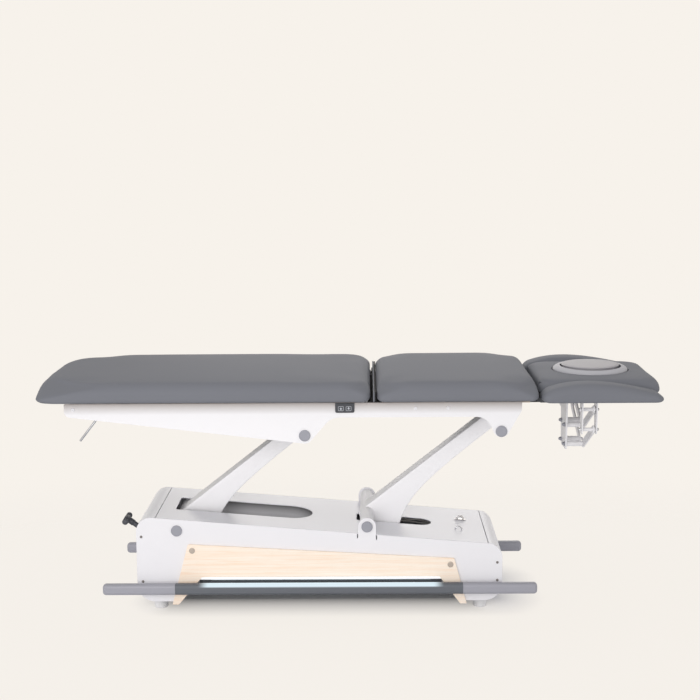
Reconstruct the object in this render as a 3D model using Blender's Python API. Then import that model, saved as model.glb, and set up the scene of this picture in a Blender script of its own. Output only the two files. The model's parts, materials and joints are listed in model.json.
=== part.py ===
"""Height-adjustable treatment table: sheet-metal base, parallelogram lift, three upholstered sections.

Frame: metres, +Z up, +X from the foot end to the head end, +Y to the right-hand side of a person
lying face up. The origin is on the floor, in the middle of the table's length and width.
"""
from math import atan2, ceil, cos, exp, pi, radians, sin, tan

import bmesh
import bpy
from mathutils import Matrix, Vector

# Fits
GAP = 0.0003                    # between pieces that touch
PIN_PLAY = 0.0004               # radial play of a pin in its hole

# Upholstered sections
LEG_LENGTH = 1.0735
MID_LENGTH = 0.5295
HEAD_LENGTH = 0.382
SECTION_GAP = 0.0075            # between one section's cushion and the next
TABLE_WIDTH = 0.66
PAD_THICKNESS = 0.062
HEAD_THICKNESS = 0.047
PAD_EDGE = 0.024                # how far the rounded edge reaches in
PAD_CROWN = 0.003
PAD_CORNER = 0.034              # corners in plan
FOOT_CORNER = 0.040             # the two corners at the foot end
HEAD_CORNER = 0.040             # the two corners at the head end
CORNER_SOFTENING = 0.060        # how much wider the corners are on top than below
CORNER_DROOP = 0.024            # how far the top falls at a corner
DROOP_REACH = 0.130             # how far from the edges that fall starts
BOARD_THICKNESS = 0.015
BOARD_MARGIN = 0.08             # cushion overhang past its board, lengthwise
BOARD_SIDE = 0.034              # frame side plate to the board

# Face opening in the head cushion
FACE_X = 0.2005                 # from the start of the head section
FACE_RING_R = 0.1265
FACE_RING_TOP_R = 0.108
FACE_RING_RISE = 0.018          # ring over the head cushion
FACE_HOLE_R = 0.103
FACE_WALL = 0.008
FACE_LID_R = 0.100
FACE_LID_THICKNESS = 0.005
PLUG_DEPTH = 0.034

# Armrests and their parallelogram links
ARM_PAD_WIDTH = 0.110
ARM_PAD_THICKNESS = 0.024       # at its ends
ARM_PAD_ARCH = 0.028            # more in the middle of its length
ARM_PAD_EDGE = 0.020
ARM_PAD_CORNER = 0.030
ARM_PAD_DOME = 0.003
ARM_PIVOT_INSET = 0.090         # outer pivots from the edge of the table
LINK_RISE = 0.0915
LINK_SPACING = 0.0665           # upper pivot over lower pivot
LINK_R = 0.013
LINK_THICKNESS = 0.005
LINK_PIN_R = 0.006
HANGER_PIVOT_Y = 0.040
HANGER_DROP = 0.1995            # lower pivot below the cushion's underside
HANGER_X = 0.113                # hanger plate from the start of the head section
HANGER_THICKNESS = 0.006
HANGER_HALF_WIDTH = 0.065
BRACKET_X = 0.1355              # first bracket plate from the start of the head section
BRACKET_LENGTH = 0.050
BRACKET_PLATE = 0.0035
BRACKET_HALF_WIDTH = 0.030
BRACKET_FLANGE_IN = 0.019      # flange reach from the pivots towards the middle

# Lift parallelogram
LIFT_LENGTH = 0.5528
LIFT_ANGLE = radians(38.0)      # at rest, over the horizontal
PIVOT_SPAN = 0.6355             # foot pivot to head pivot
FOOT_PIVOT_DEPTH = 0.0383       # foot pivot under the base's top
HEAD_PIVOT_OVER = 0.0252        # head pivot over the base's top
UPPER_PIVOT_X = -0.1455         # foot arm's upper pivot
PIVOT_TO_PAD = 0.113            # upper foot pivot up to the cushions' underside
SHAFT_R = 0.012
CAP_R = 0.0185
CAP_THICKNESS = 0.005
HUB_R = 0.0235
UPPER_HUB_HALF = 0.10
ARM_WALL = 0.004
FOOT_ARM_WIDTH = 0.100
HEAD_ARM_WIDTH = 0.075
ARM_OVER = 0.022                # arm's upper edge over the pivot line
ARM_UNDER = 0.028               # arm's lower edge under the pivot line
FLARE_DEPTH = 0.095             # how much deeper the arm is at its foot
FLARE_LENGTH = 0.090
CRANK_R = 0.085                 # lift crank on the head arm
CRANK_ANGLE = radians(-75.0)
CRANK_PIN_R = 0.008
CRANK_LOBE = 0.018

# Base
BASE_HALF_WIDTH = 0.205
SHEET = 0.003
BASE_FOOT_OVERHANG = 0.136      # foot pivot to the foot end
BASE_HEAD_OVERHANG = 0.4515     # head pivot to the head end
BASE_BOTTOM = 0.043
BASE_TOP_FOOT = 0.338           # top at the foot end
BASE_TOP_HEAD = 0.237           # top at the head end
BASE_TOP_CORNER = 0.050
BASE_LOW_CORNER = 0.060
END_COVER_FOOT = 0.065          # length of the end covers along the top
END_COVER_HEAD = 0.047
EAR_R = 0.030
NOTCH_TOP = 0.118               # toe notch in the side walls
NOTCH_FOOT = 0.140              # foot end to the notch
NOTCH_HEAD = 0.143
NOTCH_SLANT = 0.080
FOOT_SLOT_HALF = 0.080
FOOT_SLOT_BACK = 0.019          # slot reach behind the foot pivot
FOOT_SLOT_REACH = 0.446
HEAD_SLOT_HALF = 0.044
HEAD_SLOT_BACK = 0.036
HEAD_SLOT_REACH = 0.2225
FOOT_R = 0.0235
FOOT_INSET_FOOT = 0.067
FOOT_INSET_HEAD = 0.069
FOOT_SIDE_INSET = 0.076

# Wooden side panels
WOOD_THICKNESS = 0.008
WOOD_FOOT = 0.173               # foot end of the base to the panel's upper corner
WOOD_HEAD = 0.161
WOOD_TOP_FOOT = 0.243
WOOD_TOP_HEAD = 0.192
WOOD_BOTTOM = 0.035
WOOD_SPREAD = 0.056             # how far the panel's feet stand out
WOOD_FOOT_WIDTH = 0.022
WOOD_NOTCH_LIP = 0.008          # wooden notch over the metal one
WOOD_CORNER = 0.006

# Foot control bars
BAR_LENGTH = 1.445
BAR_CENTRE_X = -0.1045
BAR_OFFSET = 0.032              # bar centre out from the base wall
BAR_DEPTH = 0.030
BAR_HEIGHT = 0.037
BAR_Z = 0.0975
BAR_ROUND = 0.011
BAR_ARM_X = (-0.40, 0.20)
BAR_ARM_THICKNESS = 0.008
BAR_ARM_DEPTH = 0.016
BAR_PIVOT_INSET = 0.075
BAR_PIVOT_Z = 0.0875
BAR_PIN_R = 0.005
BAR_LUG = 0.005
LED_HEIGHT = 0.0060
LED_DEPTH = 0.008
LED_INSET = 0.009
LED_END = 0.027

# Castor lever with its tee handle and wheels
LEVER_PIVOT_X = 0.138           # from the foot end of the base
LEVER_PIVOT_Z = 0.127
LEVER_LENGTH = 0.250
LEVER_ANGLE = radians(36.0)
LEVER_ROD_R = 0.0095
TEE_R = 0.0105
TEE_LENGTH = 0.100
LEVER_SHAFT_R = 0.008
WHEEL_R = 0.032
WHEEL_WIDTH = 0.024
WHEEL_Y = 0.072                 # inner face of each wheel
WHEEL_BACK = 0.075              # wheel axle behind the lever's shaft
WHEEL_DROP = 0.070
AXLE_R = 0.005
LEVER_ARM_Y = 0.063
LEVER_ARM_THICKNESS = 0.006
LEVER_SLOT_HALF = 0.0135
WHEEL_WELL_HALF = 0.105

# Lift actuator and its control box
ACTUATOR_Z = 0.205
ACTUATOR_FOOT = 0.355           # from the head pivot towards the foot end
ACTUATOR_HEAD = 0.075
ACTUATOR_R = 0.025
ACTUATOR_ROD_R = 0.012
ACTUATOR_BORE = 0.17
MOTOR_LENGTH = 0.10
MOTOR_HALF = 0.035
YOKE_HALF = 0.021
YOKE_THICKNESS = 0.012
YOKE_SHIFT = 0.0018             # slot centre against the pin, at rest
YOKE_PLAY = 0.003
CONTROL_X = 0.145               # from the head pivot
CONTROL_SIZE = (0.16, 0.12, 0.058)
INLET_SIZE = (0.004, 0.050, 0.030)
INLET_Y = 0.090
INLET_Z = 0.120
LOOP_PLACES = ((0.3135, -0.070), (0.3275, 0.060))
LOOP_R = 0.011
LOOP_WIRE = 0.0022

# Top frame
FRAME_INSET = 0.042             # side plates in from the edge of the table
FRAME_PLATE = 0.004
FRAME_CLEAR = 0.006             # frame's top edge under the cushions
FRAME_FOOT = 0.077              # foot cushion overhang past the frame
FRAME_HEAD_X = 0.066            # frame past the head arm's upper pivot
FRAME_FOOT_DEPTH = 0.042
FRAME_LINK_DEPTH = 0.048
FRAME_LOBE = 0.0265
CROSS_R = 0.0125
CROSS_FOOT_X = 0.260            # from the foot end of the foot cushion
CROSS_MID_X = 0.0595            # from the start of the middle cushion
CROSS_HEAD_X = 0.0805           # from the end of the middle cushion
PANEL_X = (0.0995, 0.1615)      # control panel, from the foot arm's upper pivot
PANEL_HEIGHT = 0.032
PANEL_THICKNESS = 0.004

# Section hinges
HINGE_PLATE = 0.006
HINGE_STEP = 0.0095             # fixed lug to moving arm
HINGE_END_R = 0.012
HINGE_PIN_R = 0.005
HINGE_SLOT_PLAY = 0.0015
LEG_HINGE_INSET = 0.0905        # leg hinge lugs from the side plates
HEAD_HINGE_INSET = 0.0575       # head hinge lugs from the edge of the head cushion
HINGE_ARM_DEPTH = 0.0247
HEAD_ARM_DEPTH = 0.016
HINGE_ARM_LEG = 0.86            # length of the leg section's arms
HINGE_ARM_HEAD = 0.31

# Gas spring of the leg section
SPRING_TUBE_R = 0.011
SPRING_ROD_R = 0.005
SPRING_TUBE_LENGTH = 0.27
SPRING_OFFSET = 0.027           # gas spring out from the hinge lugs
SPRING_EYE_R = 0.020
SPRING_EYE_HALF = 0.007
SPRING_CRANK_DROP = 0.113
SPRING_CRANK_ANGLE = radians(32.5)
SPRING_PIN_R = 0.0045
SPRING_SLOT = (0.104, 0.140)
SPRING_SLOT_PLAY = 0.0048

# Release lever under the leg section
RELEASE_X = 0.200               # from the foot end of the foot cushion
RELEASE_LENGTH = 0.151
RELEASE_ANGLE = radians(232.0)
RELEASE_ROD_R = 0.004
RELEASE_HUB_R = 0.011
RELEASE_HUB_WIDTH = 0.013

# Places worked out from the sizes above
FOOT_END = -(LEG_LENGTH + MID_LENGTH + HEAD_LENGTH + 2 * SECTION_GAP) / 2
LEG_END = FOOT_END + LEG_LENGTH
MID_START = LEG_END + SECTION_GAP
MID_END = MID_START + MID_LENGTH
HEAD_START = MID_END + SECTION_GAP
HEAD_END = HEAD_START + HEAD_LENGTH
LIFT_STEP = Vector((LIFT_LENGTH * cos(LIFT_ANGLE), LIFT_LENGTH * sin(LIFT_ANGLE)))
LOWER_FOOT_X = UPPER_PIVOT_X - LIFT_STEP.x
BASE_FOOT_X = LOWER_FOOT_X - BASE_FOOT_OVERHANG
BASE_HEAD_X = LOWER_FOOT_X + PIVOT_SPAN + BASE_HEAD_OVERHANG
TOP_SLOPE = (BASE_TOP_HEAD - BASE_TOP_FOOT) / (BASE_HEAD_X - BASE_FOOT_X)


def top_of_base(x):
    return BASE_TOP_FOOT + TOP_SLOPE * (x - BASE_FOOT_X)


LOWER_FOOT = Vector((LOWER_FOOT_X, top_of_base(LOWER_FOOT_X) - FOOT_PIVOT_DEPTH))
LOWER_HEAD = Vector((LOWER_FOOT_X + PIVOT_SPAN, top_of_base(LOWER_FOOT_X + PIVOT_SPAN) + HEAD_PIVOT_OVER))
UPPER_FOOT = LOWER_FOOT + LIFT_STEP
UPPER_HEAD = LOWER_HEAD + LIFT_STEP
PAD_BOTTOM = UPPER_FOOT.y + PIVOT_TO_PAD
PAD_TOP = PAD_BOTTOM + PAD_THICKNESS
HEAD_TOP = PAD_BOTTOM + HEAD_THICKNESS
BOARD_TOP = PAD_BOTTOM - GAP
BOARD_BOTTOM = BOARD_TOP - BOARD_THICKNESS
HALF_WIDTH = TABLE_WIDTH / 2
HEAD_HALF = HALF_WIDTH - ARM_PAD_WIDTH - SECTION_GAP
FRAME_HALF_WIDTH = HALF_WIDTH - FRAME_INSET
BOARD_HALF = FRAME_HALF_WIDTH - FRAME_PLATE - BOARD_SIDE
LEG_HINGE_Y = FRAME_HALF_WIDTH - LEG_HINGE_INSET
HEAD_HINGE_Y = HEAD_HALF - HEAD_HINGE_INSET
SPRING_Y = LEG_HINGE_Y + SPRING_OFFSET
FOOT_Y = BASE_HALF_WIDTH - FOOT_SIDE_INSET
BAR_Y = BASE_HALF_WIDTH + BAR_OFFSET
BAR_PIVOT_Y = BASE_HALF_WIDTH - BAR_PIVOT_INSET
LEG_AXIS = Vector((LEG_END - PAD_THICKNESS / 2, PAD_BOTTOM + PAD_THICKNESS / 2))
HEAD_AXIS = Vector((HEAD_START + HEAD_THICKNESS / 2, PAD_BOTTOM + HEAD_THICKNESS / 2))
FACE_CENTRE_X = HEAD_START + FACE_X
SEAM_FOOT = BASE_FOOT_X + END_COVER_FOOT
SEAM_HEAD = BASE_HEAD_X - END_COVER_HEAD
INNER_HALF = BASE_HALF_WIDTH - SHEET - GAP
FRAME_TOP = PAD_BOTTOM - FRAME_CLEAR
FRAME_INNER = FRAME_HALF_WIDTH - FRAME_PLATE - GAP
CROSS_Z = BOARD_BOTTOM - GAP - CROSS_R
HINGE_ARM_TOP = BOARD_BOTTOM - GAP
HINGE_ARM_BOTTOM = HINGE_ARM_TOP - HINGE_ARM_DEPTH
CROSS_FOOT = Vector((FOOT_END + CROSS_FOOT_X, HINGE_ARM_BOTTOM - GAP - CROSS_R))
CROSS_MID = Vector((MID_START + CROSS_MID_X, CROSS_Z))
CROSS_HEAD = Vector((MID_END - CROSS_HEAD_X, CROSS_Z))
CRANK_PIN = LOWER_HEAD + CRANK_R * Vector((cos(CRANK_ANGLE), sin(CRANK_ANGLE)))
SPRING_TIP = LEG_AXIS + SPRING_CRANK_DROP * Vector((tan(SPRING_CRANK_ANGLE), -1))
SPRING_LINE = (SPRING_TIP - UPPER_HEAD).normalized()
LINK_INNER = Vector((HANGER_PIVOT_Y, PAD_BOTTOM - HANGER_DROP))
LINK_OUTER = Vector((HALF_WIDTH - ARM_PIVOT_INSET, LINK_INNER.y + LINK_RISE))
LEVER_PIVOT = Vector((BASE_FOOT_X + LEVER_PIVOT_X, LEVER_PIVOT_Z))
TEE_CENTRE = LEVER_PIVOT + LEVER_LENGTH * Vector((-cos(LEVER_ANGLE), sin(LEVER_ANGLE)))
WHEEL_CENTRE = LEVER_PIVOT - Vector((WHEEL_BACK, WHEEL_DROP))
TRAY_TOP = NOTCH_TOP + 2 * SHEET - GAP
RELEASE_PIVOT = Vector((FOOT_END + RELEASE_X, (HINGE_ARM_TOP + HINGE_ARM_BOTTOM) / 2))
SIDES = (("left", -1), ("right", 1))

ROUND_STEPS = 18                # sides of a round piece
FINE_STEPS = 32


# Materials

def paint(name, colour, roughness, metallic=0.0):
    material = bpy.data.materials.new(name)
    material.use_nodes = True
    shader = material.node_tree.nodes["Principled BSDF"]
    shader.inputs["Base Color"].default_value = (*colour, 1)
    shader.inputs["Roughness"].default_value = roughness
    shader.inputs["Metallic"].default_value = metallic
    return material


def make_materials():
    return {
        "white": paint("white_paint", (0.85, 0.85, 0.87), 0.35),
        "vinyl": paint("grey_vinyl", (0.23, 0.24, 0.26), 0.45),
        "pale": paint("pale_grey_cover", (0.52, 0.52, 0.53), 0.45),
        "cap": paint("grey_plastic", (0.36, 0.37, 0.41), 0.4),
        "dark": paint("dark_plastic", (0.07, 0.07, 0.08), 0.45),
        "bar": paint("grey_bar", (0.13, 0.14, 0.15), 0.4),
        "wood": paint("pale_wood", (0.95, 0.78, 0.60), 0.45),
        "ply": paint("plywood", (0.62, 0.45, 0.28), 0.6),
        "steel": paint("zinc_steel", (0.62, 0.62, 0.62), 0.3, 1.0),
        "light": paint("light_diffuser", (0.75, 0.90, 1.0), 0.3),
        "tyre": paint("grey_rubber", (0.10, 0.10, 0.10), 0.7),
    }


# Outlines

def rounded(corners, step=radians(20)):
    """Closed outline through (a, b, radius) corners, each rounded by an arc of its radius."""
    outline = []
    for index, (a, b, radius) in enumerate(corners):
        here = Vector((a, b))
        if radius <= 0:
            outline.append(here)
            continue
        back = (Vector(corners[index - 1][:2]) - here).normalized()
        ahead = (Vector(corners[(index + 1) % len(corners)][:2]) - here).normalized()
        half = back.angle(ahead) / 2
        centre = here + (back + ahead).normalized() * (radius / sin(half))
        first = here + back * (radius / tan(half)) - centre
        last = here + ahead * (radius / tan(half)) - centre
        turn = atan2(first.x * last.y - first.y * last.x, first.dot(last))
        count = max(2, ceil(abs(turn) / step))
        for k in range(count + 1):
            outline.append(centre + Matrix.Rotation(turn * k / count, 2) @ first)
    return outline


def lobe(centre, radius, heading_in, heading_out):
    """Corner whose rounding by the radius is the circle, for an outline that runs anticlockwise."""
    normals = [Vector((sin(a), -cos(a))) for a in (heading_in, heading_out)]
    corner = centre + radius * (normals[0] + normals[1]) / (1 + normals[0].dot(normals[1]))
    return (corner.x, corner.y, radius)


def circle(centre, radius, steps=ROUND_STEPS):
    return [centre + radius * Vector((cos(2 * pi * k / steps), sin(2 * pi * k / steps)))
            for k in range(steps)]


def stadium(a, b, radius):
    """Outline of a strip with round ends about two points."""
    heading = atan2(b.y - a.y, b.x - a.x)
    half_steps = ROUND_STEPS // 2
    ends = ((b, heading - pi / 2), (a, heading + pi / 2))
    return [centre + radius * Vector((cos(start + pi * k / half_steps), sin(start + pi * k / half_steps)))
            for centre, start in ends for k in range(half_steps + 1)]


def rectangle(a0, a1, b0, b1):
    return [Vector((a0, b0)), Vector((a1, b0)), Vector((a1, b1)), Vector((a0, b1))]


# Solids

def loft(name, rings, material):
    """Closed solid through rings with the same number of points, capped at both ends."""
    mesh_data = bmesh.new()
    loops = [[mesh_data.verts.new(point) for point in ring] for ring in rings]
    count = len(loops[0])
    for lower, upper in zip(loops, loops[1:]):
        for k in range(count):
            n = (k + 1) % count
            mesh_data.faces.new((lower[k], lower[n], upper[n], upper[k]))
    mesh_data.faces.new(loops[0][::-1])
    mesh_data.faces.new(loops[-1])
    bmesh.ops.recalc_face_normals(mesh_data, faces=mesh_data.faces)
    mesh = bpy.data.meshes.new(name)
    mesh_data.to_mesh(mesh)
    mesh_data.free()
    mesh.shade_smooth()
    mesh.set_sharp_from_angle(angle=radians(35))
    item = bpy.data.objects.new(name, mesh)
    bpy.context.scene.collection.objects.link(item)
    if material:
        mesh.materials.append(material)
    return item


def along_x(name, outline, x0, x1, material=None):
    return loft(name, [[(x, p.x, p.y) for p in outline] for x in (x0, x1)], material)


def along_y(name, outline, y0, y1, material=None):
    return loft(name, [[(p.x, y, p.y) for p in outline] for y in (y0, y1)], material)


def along_z(name, outline, z0, z1, material=None):
    return loft(name, [[(p.x, p.y, z) for p in outline] for z in (z0, z1)], material)


def block(name, low, high, material=None):
    return along_z(name, rectangle(low[0], high[0], low[1], high[1]), low[2], high[2], material)


def rod(name, start, end, radius, material=None, steps=ROUND_STEPS):
    """Round bar between two points."""
    start, end = Vector(start), Vector(end)
    side = (end - start).orthogonal().normalized()
    other = (end - start).normalized().cross(side)
    spokes = [radius * (side * p.x + other * p.y) for p in circle(Vector((0, 0)), 1, steps)]
    return loft(name, [[centre + spoke for spoke in spokes] for centre in (start, end)], material)


def turned(name, profile, place, material=None, steps=ROUND_STEPS):
    """Round piece from (height, radius) pairs; place turns a height and a flat point into space."""
    return loft(name, [[place(height, p) for p in circle(Vector((0, 0)), radius, steps)]
                       for height, radius in profile], material)


def helper(item):
    item.hide_render = True
    item.display_type = "WIRE"
    return item


def combine(item, others, operation):
    for other in others:
        modifier = item.modifiers.new(other.name, "BOOLEAN")
        modifier.operation = operation
        modifier.solver = "EXACT"
        modifier.object = helper(other)
    return item


def joined(item, *others):
    return combine(item, others, "UNION")


def cut(item, *others):
    return combine(item, others, "DIFFERENCE")


# Cushions

def plan(x0, x1, y0, y1, radii, inset):
    """Rounded rectangle drawn in by an inset; radii start at the low corner, anticlockwise."""
    low = 0.004
    corners = [(x0 + inset, y0 + inset), (x1 - inset, y0 + inset), (x1 - inset, y1 - inset),
               (x0 + inset, y1 - inset)]
    return rounded([(*c, max(r - inset, low)) for c, r in zip(corners, radii)])


def corner_fall(depth, x0, x1, y0, y1, point):
    """How far the top of a pad falls at a point, most at the corners."""
    if not depth:
        return 0.0
    gaps = (min(point.x - x0, x1 - point.x), min(point.y - y0, y1 - point.y))
    shares = [max(0.0, 1 - gap / DROOP_REACH) ** 2 for gap in gaps]
    return depth * shares[0] * shares[1]


def cushion(name, x0, x1, y0, y1, bottom, thickness, radii, crown, material, arch=0.0, edge=PAD_EDGE,
            droop=0.0):
    """Upholstered pad: sides drawn in above and below, a crowned top with fallen corners, and an arch."""
    squareness = 2 / 3
    middle = bottom + thickness / 2
    softening = CORNER_SOFTENING if droop else 0.0
    rings = []
    for turn in range(-4, 5):
        c, s = cos(turn * pi / 8), sin(turn * pi / 8)
        inset = edge * (1 - max(c, 0) ** squareness)
        height = thickness / 2 * (abs(s) ** squareness) * (1 if s > 0 else -1)
        rings.append((inset, middle + height, max(s, 0)))
    crowns = [(0.036, 0.5), (0.050, 1.0)]
    if droop:
        crowns.append((DROOP_REACH, 1.0))
    for inset, share in crowns:
        rings.append((inset, bottom + thickness + crown * share, 1))
    loops = []
    for inset, z, rise in rings:
        share = (z - bottom) / thickness
        widened = [radius + softening * rise for radius in radii]
        loops.append([(p.x, p.y, z + share * arch * (1 - (2 * (p.x - x0) / (x1 - x0) - 1) ** 2)
                       - share * corner_fall(droop, x0, x1, y0, y1, p))
                      for p in plan(x0, x1, y0, y1, widened, inset)])
    return loft(name, loops, material)


def hinge_slots(name, axis, y_low, x_low, x_high, z_low):
    """Cutters that clear the two hinge plates inside a cushion, one for each side."""
    top = axis.y + HINGE_END_R + HINGE_SLOT_PLAY
    width = HINGE_STEP + HINGE_PLATE + HINGE_SLOT_PLAY
    cutters = []
    for side, sign in SIDES:
        ys = sorted((sign * (y_low - HINGE_SLOT_PLAY), sign * (y_low + width)))
        cutters.append(block(f"{name}_slot_{side}", (x_low, ys[0], z_low), (x_high, ys[1], top)))
    return cutters


def make_leg_section(m):
    radii = (FOOT_CORNER, PAD_CORNER, PAD_CORNER, FOOT_CORNER)
    pad = cushion("leg_pad", FOOT_END, LEG_END, -HALF_WIDTH, HALF_WIDTH, PAD_BOTTOM, PAD_THICKNESS,
                  radii, PAD_CROWN, m["vinyl"], droop=CORNER_DROOP)
    reach = HINGE_END_R + HINGE_SLOT_PLAY
    cut(pad, *hinge_slots("leg_pad", LEG_AXIS, LEG_HINGE_Y, LEG_AXIS.x - reach,
                          LEG_END + SECTION_GAP, PAD_BOTTOM - BOARD_THICKNESS))
    board_end = LEG_AXIS.x - HINGE_END_R - 0.010
    board = along_z("leg_board", rounded([
        (FOOT_END + BOARD_MARGIN, -BOARD_HALF, 0.03), (board_end, -BOARD_HALF, 0),
        (board_end, BOARD_HALF, 0), (FOOT_END + BOARD_MARGIN, BOARD_HALF, 0.03)]),
        BOARD_BOTTOM, BOARD_TOP, m["ply"])
    pieces = [pad, board]
    for side, sign in SIDES:
        pieces.append(make_leg_hinge_arm(side, sign, m))
    return pieces


def hinge_arm_outline(axis, far_x, depth):
    """Flat arm under the board with an upright that reaches the hinge axis."""
    up = (axis.x - HINGE_END_R, axis.x + HINGE_END_R)
    level = (HINGE_ARM_TOP - depth, HINGE_ARM_TOP)
    head = axis.y + HINGE_END_R
    if far_x < axis.x:
        return rounded([(far_x, level[0], 0.006), (up[1], level[0], 0), (up[1], head, HINGE_END_R),
                        (up[0], head, HINGE_END_R), (up[0], level[1], 0), (far_x, level[1], 0.006)])
    return rounded([(up[0], level[0], 0), (far_x, level[0], 0.006), (far_x, level[1], 0.006),
                    (up[1], level[1], 0), (up[1], head, HINGE_END_R), (up[0], head, HINGE_END_R)])


def make_hinge_arm(name, axis, far_x, depth, y_low, sign, m):
    """Moving hinge plate with its pin, which turns in the fixed lug beside it."""
    near = y_low + HINGE_STEP
    arm = along_y(name, hinge_arm_outline(axis, far_x, depth), sign * near, sign * (near + HINGE_PLATE),
                  m["steel"])
    pin = rod(f"{name}_pin", (axis.x, sign * (near + HINGE_PLATE / 2), axis.y),
              (axis.x, sign * (y_low - HINGE_SLOT_PLAY / 2), axis.y), HINGE_PIN_R)
    return joined(arm, pin)


def make_leg_hinge_arm(side, sign, m):
    name = f"leg_hinge_arm_{side}"
    arm = make_hinge_arm(name, LEG_AXIS, LEG_AXIS.x - HINGE_ARM_LEG, HINGE_ARM_DEPTH, LEG_HINGE_Y, sign, m)
    inner = LEG_HINGE_Y + HINGE_STEP
    if side == "right":
        ray = (SPRING_TIP - LEG_AXIS).normalized()
        crank = stadium(LEG_AXIS + ray * HINGE_END_R, LEG_AXIS + ray * SPRING_SLOT[1],
                        SPRING_PIN_R + SPRING_SLOT_PLAY + 0.006)
        joined(arm, along_y(f"{name}_crank", crank, inner, inner + HINGE_PLATE))
        slot = stadium(LEG_AXIS + ray * SPRING_SLOT[0], LEG_AXIS + ray * SPRING_SLOT[1],
                       SPRING_PIN_R + SPRING_SLOT_PLAY)
        cut(arm, along_y(f"{name}_crank_slot", slot, inner - 0.01, inner + HINGE_PLATE + 0.01))
    else:
        pin = rod(f"{name}_release_pin", (RELEASE_PIVOT.x, -inner - HINGE_PLATE / 2, RELEASE_PIVOT.y),
                  (RELEASE_PIVOT.x, -inner + RELEASE_HUB_WIDTH + 0.003, RELEASE_PIVOT.y), HINGE_PIN_R)
        joined(arm, pin)
    return arm


def make_release_lever(m):
    """Bent-down hand rod with its hub on the leg section's left arm."""
    outer = -(LEG_HINGE_Y + HINGE_STEP) + GAP
    inner = outer + RELEASE_HUB_WIDTH
    middle = (outer + inner) / 2
    hub = along_y("release_lever", circle(RELEASE_PIVOT, RELEASE_HUB_R), outer, inner, m["steel"])
    ray = Vector((cos(RELEASE_ANGLE), sin(RELEASE_ANGLE)))
    start = RELEASE_PIVOT + ray * (RELEASE_HUB_R * 0.7)
    end = RELEASE_PIVOT + ray * RELEASE_LENGTH
    joined(hub, rod("release_rod", (start.x, middle, start.y), (end.x, middle, end.y), RELEASE_ROD_R))
    bore = along_y("release_bore", circle(RELEASE_PIVOT, HINGE_PIN_R + PIN_PLAY), outer - 0.01, inner + 0.01)
    return cut(hub, bore)


def make_gas_spring(m):
    """Gas spring from the head arm's upper shaft to the leg section's slotted crank."""
    def at(distance):
        place = UPPER_HEAD + SPRING_LINE * distance
        return (place.x, SPRING_Y, place.y)

    reach = (SPRING_TIP - UPPER_HEAD).length
    tube = rod("gas_spring_tube", at(SPRING_EYE_R * 0.7), at(SPRING_EYE_R + SPRING_TUBE_LENGTH),
               SPRING_TUBE_R, m["dark"])
    eye = along_y("gas_eye", circle(UPPER_HEAD, SPRING_EYE_R), SPRING_Y - SPRING_EYE_HALF,
                  SPRING_Y + SPRING_EYE_HALF)
    joined(tube, eye)
    bore = along_y("gas_eye_bore", circle(UPPER_HEAD, SHAFT_R + PIN_PLAY), SPRING_Y - 0.02, SPRING_Y + 0.02)
    cut(tube, bore, rod("gas_bore", at(SPRING_EYE_R + 0.03), at(SPRING_EYE_R + SPRING_TUBE_LENGTH + 0.01),
                        SPRING_ROD_R + PIN_PLAY))
    rod_piece = rod("gas_spring_rod", at(SPRING_EYE_R + 0.04), at(reach), SPRING_ROD_R, m["steel"])
    pin_reach = LEG_HINGE_Y + HINGE_STEP - 0.003
    pin = rod("gas_pin", (SPRING_TIP.x, SPRING_Y + SPRING_ROD_R, SPRING_TIP.y),
              (SPRING_TIP.x, pin_reach, SPRING_TIP.y), SPRING_PIN_R)
    end = along_y("gas_end", circle(SPRING_TIP, 0.009), SPRING_Y - SPRING_ROD_R, SPRING_Y + SPRING_ROD_R)
    return tube, joined(rod_piece, end, pin)


def make_middle_section(m):
    radii = (PAD_CORNER,) * 4
    pad = cushion("mid_pad", MID_START, MID_END, -HALF_WIDTH, HALF_WIDTH, PAD_BOTTOM, PAD_THICKNESS,
                  radii, PAD_CROWN, m["vinyl"], droop=CORNER_DROOP)
    board = block("mid_board", (MID_START + PAD_EDGE, -BOARD_HALF, BOARD_BOTTOM),
                  (MID_END - PAD_EDGE, BOARD_HALF, BOARD_TOP), m["ply"])
    return pad, board


# Head section

def make_head_section(m):
    inner = HEAD_HALF
    pad = cushion("head_pad", HEAD_START, HEAD_END, -inner, inner, PAD_BOTTOM, HEAD_THICKNESS,
                  (PAD_CORNER, HEAD_CORNER, HEAD_CORNER, PAD_CORNER), 0.001, m["vinyl"],
                  droop=CORNER_DROOP * HEAD_THICKNESS / PAD_THICKNESS)
    reach = HINGE_END_R + HINGE_SLOT_PLAY + HEAD_THICKNESS / 4
    face = Vector((FACE_CENTRE_X, 0))
    cut(pad, *hinge_slots("head_pad", HEAD_AXIS, HEAD_HINGE_Y, HEAD_START - SECTION_GAP,
                          HEAD_AXIS.x + reach, PAD_BOTTOM - BOARD_THICKNESS),
        along_z("face_hole", circle(face, FACE_HOLE_R, FINE_STEPS), PAD_BOTTOM - 0.02, HEAD_TOP + 0.02))
    board = block("head_board", (HEAD_AXIS.x + 2 * PAD_EDGE, -inner + PAD_EDGE, BOARD_BOTTOM),
                  (HEAD_END - PAD_EDGE, inner - PAD_EDGE, BOARD_TOP), m["ply"])
    cut(board, along_z("board_hole", circle(face, FACE_HOLE_R, FINE_STEPS), BOARD_BOTTOM - 0.01,
                       BOARD_TOP + 0.01))
    pieces = [pad, board, make_face_ring(m), make_hanger(m)]
    for side, sign in SIDES:
        pieces.append(make_hinge_arm(f"head_hinge_arm_{side}", HEAD_AXIS, HEAD_AXIS.x + HINGE_ARM_HEAD,
                                     HEAD_ARM_DEPTH, HEAD_HINGE_Y, sign, m))
    return pieces


def upright(height, point):
    return (FACE_CENTRE_X + point.x, point.y, height)


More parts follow.
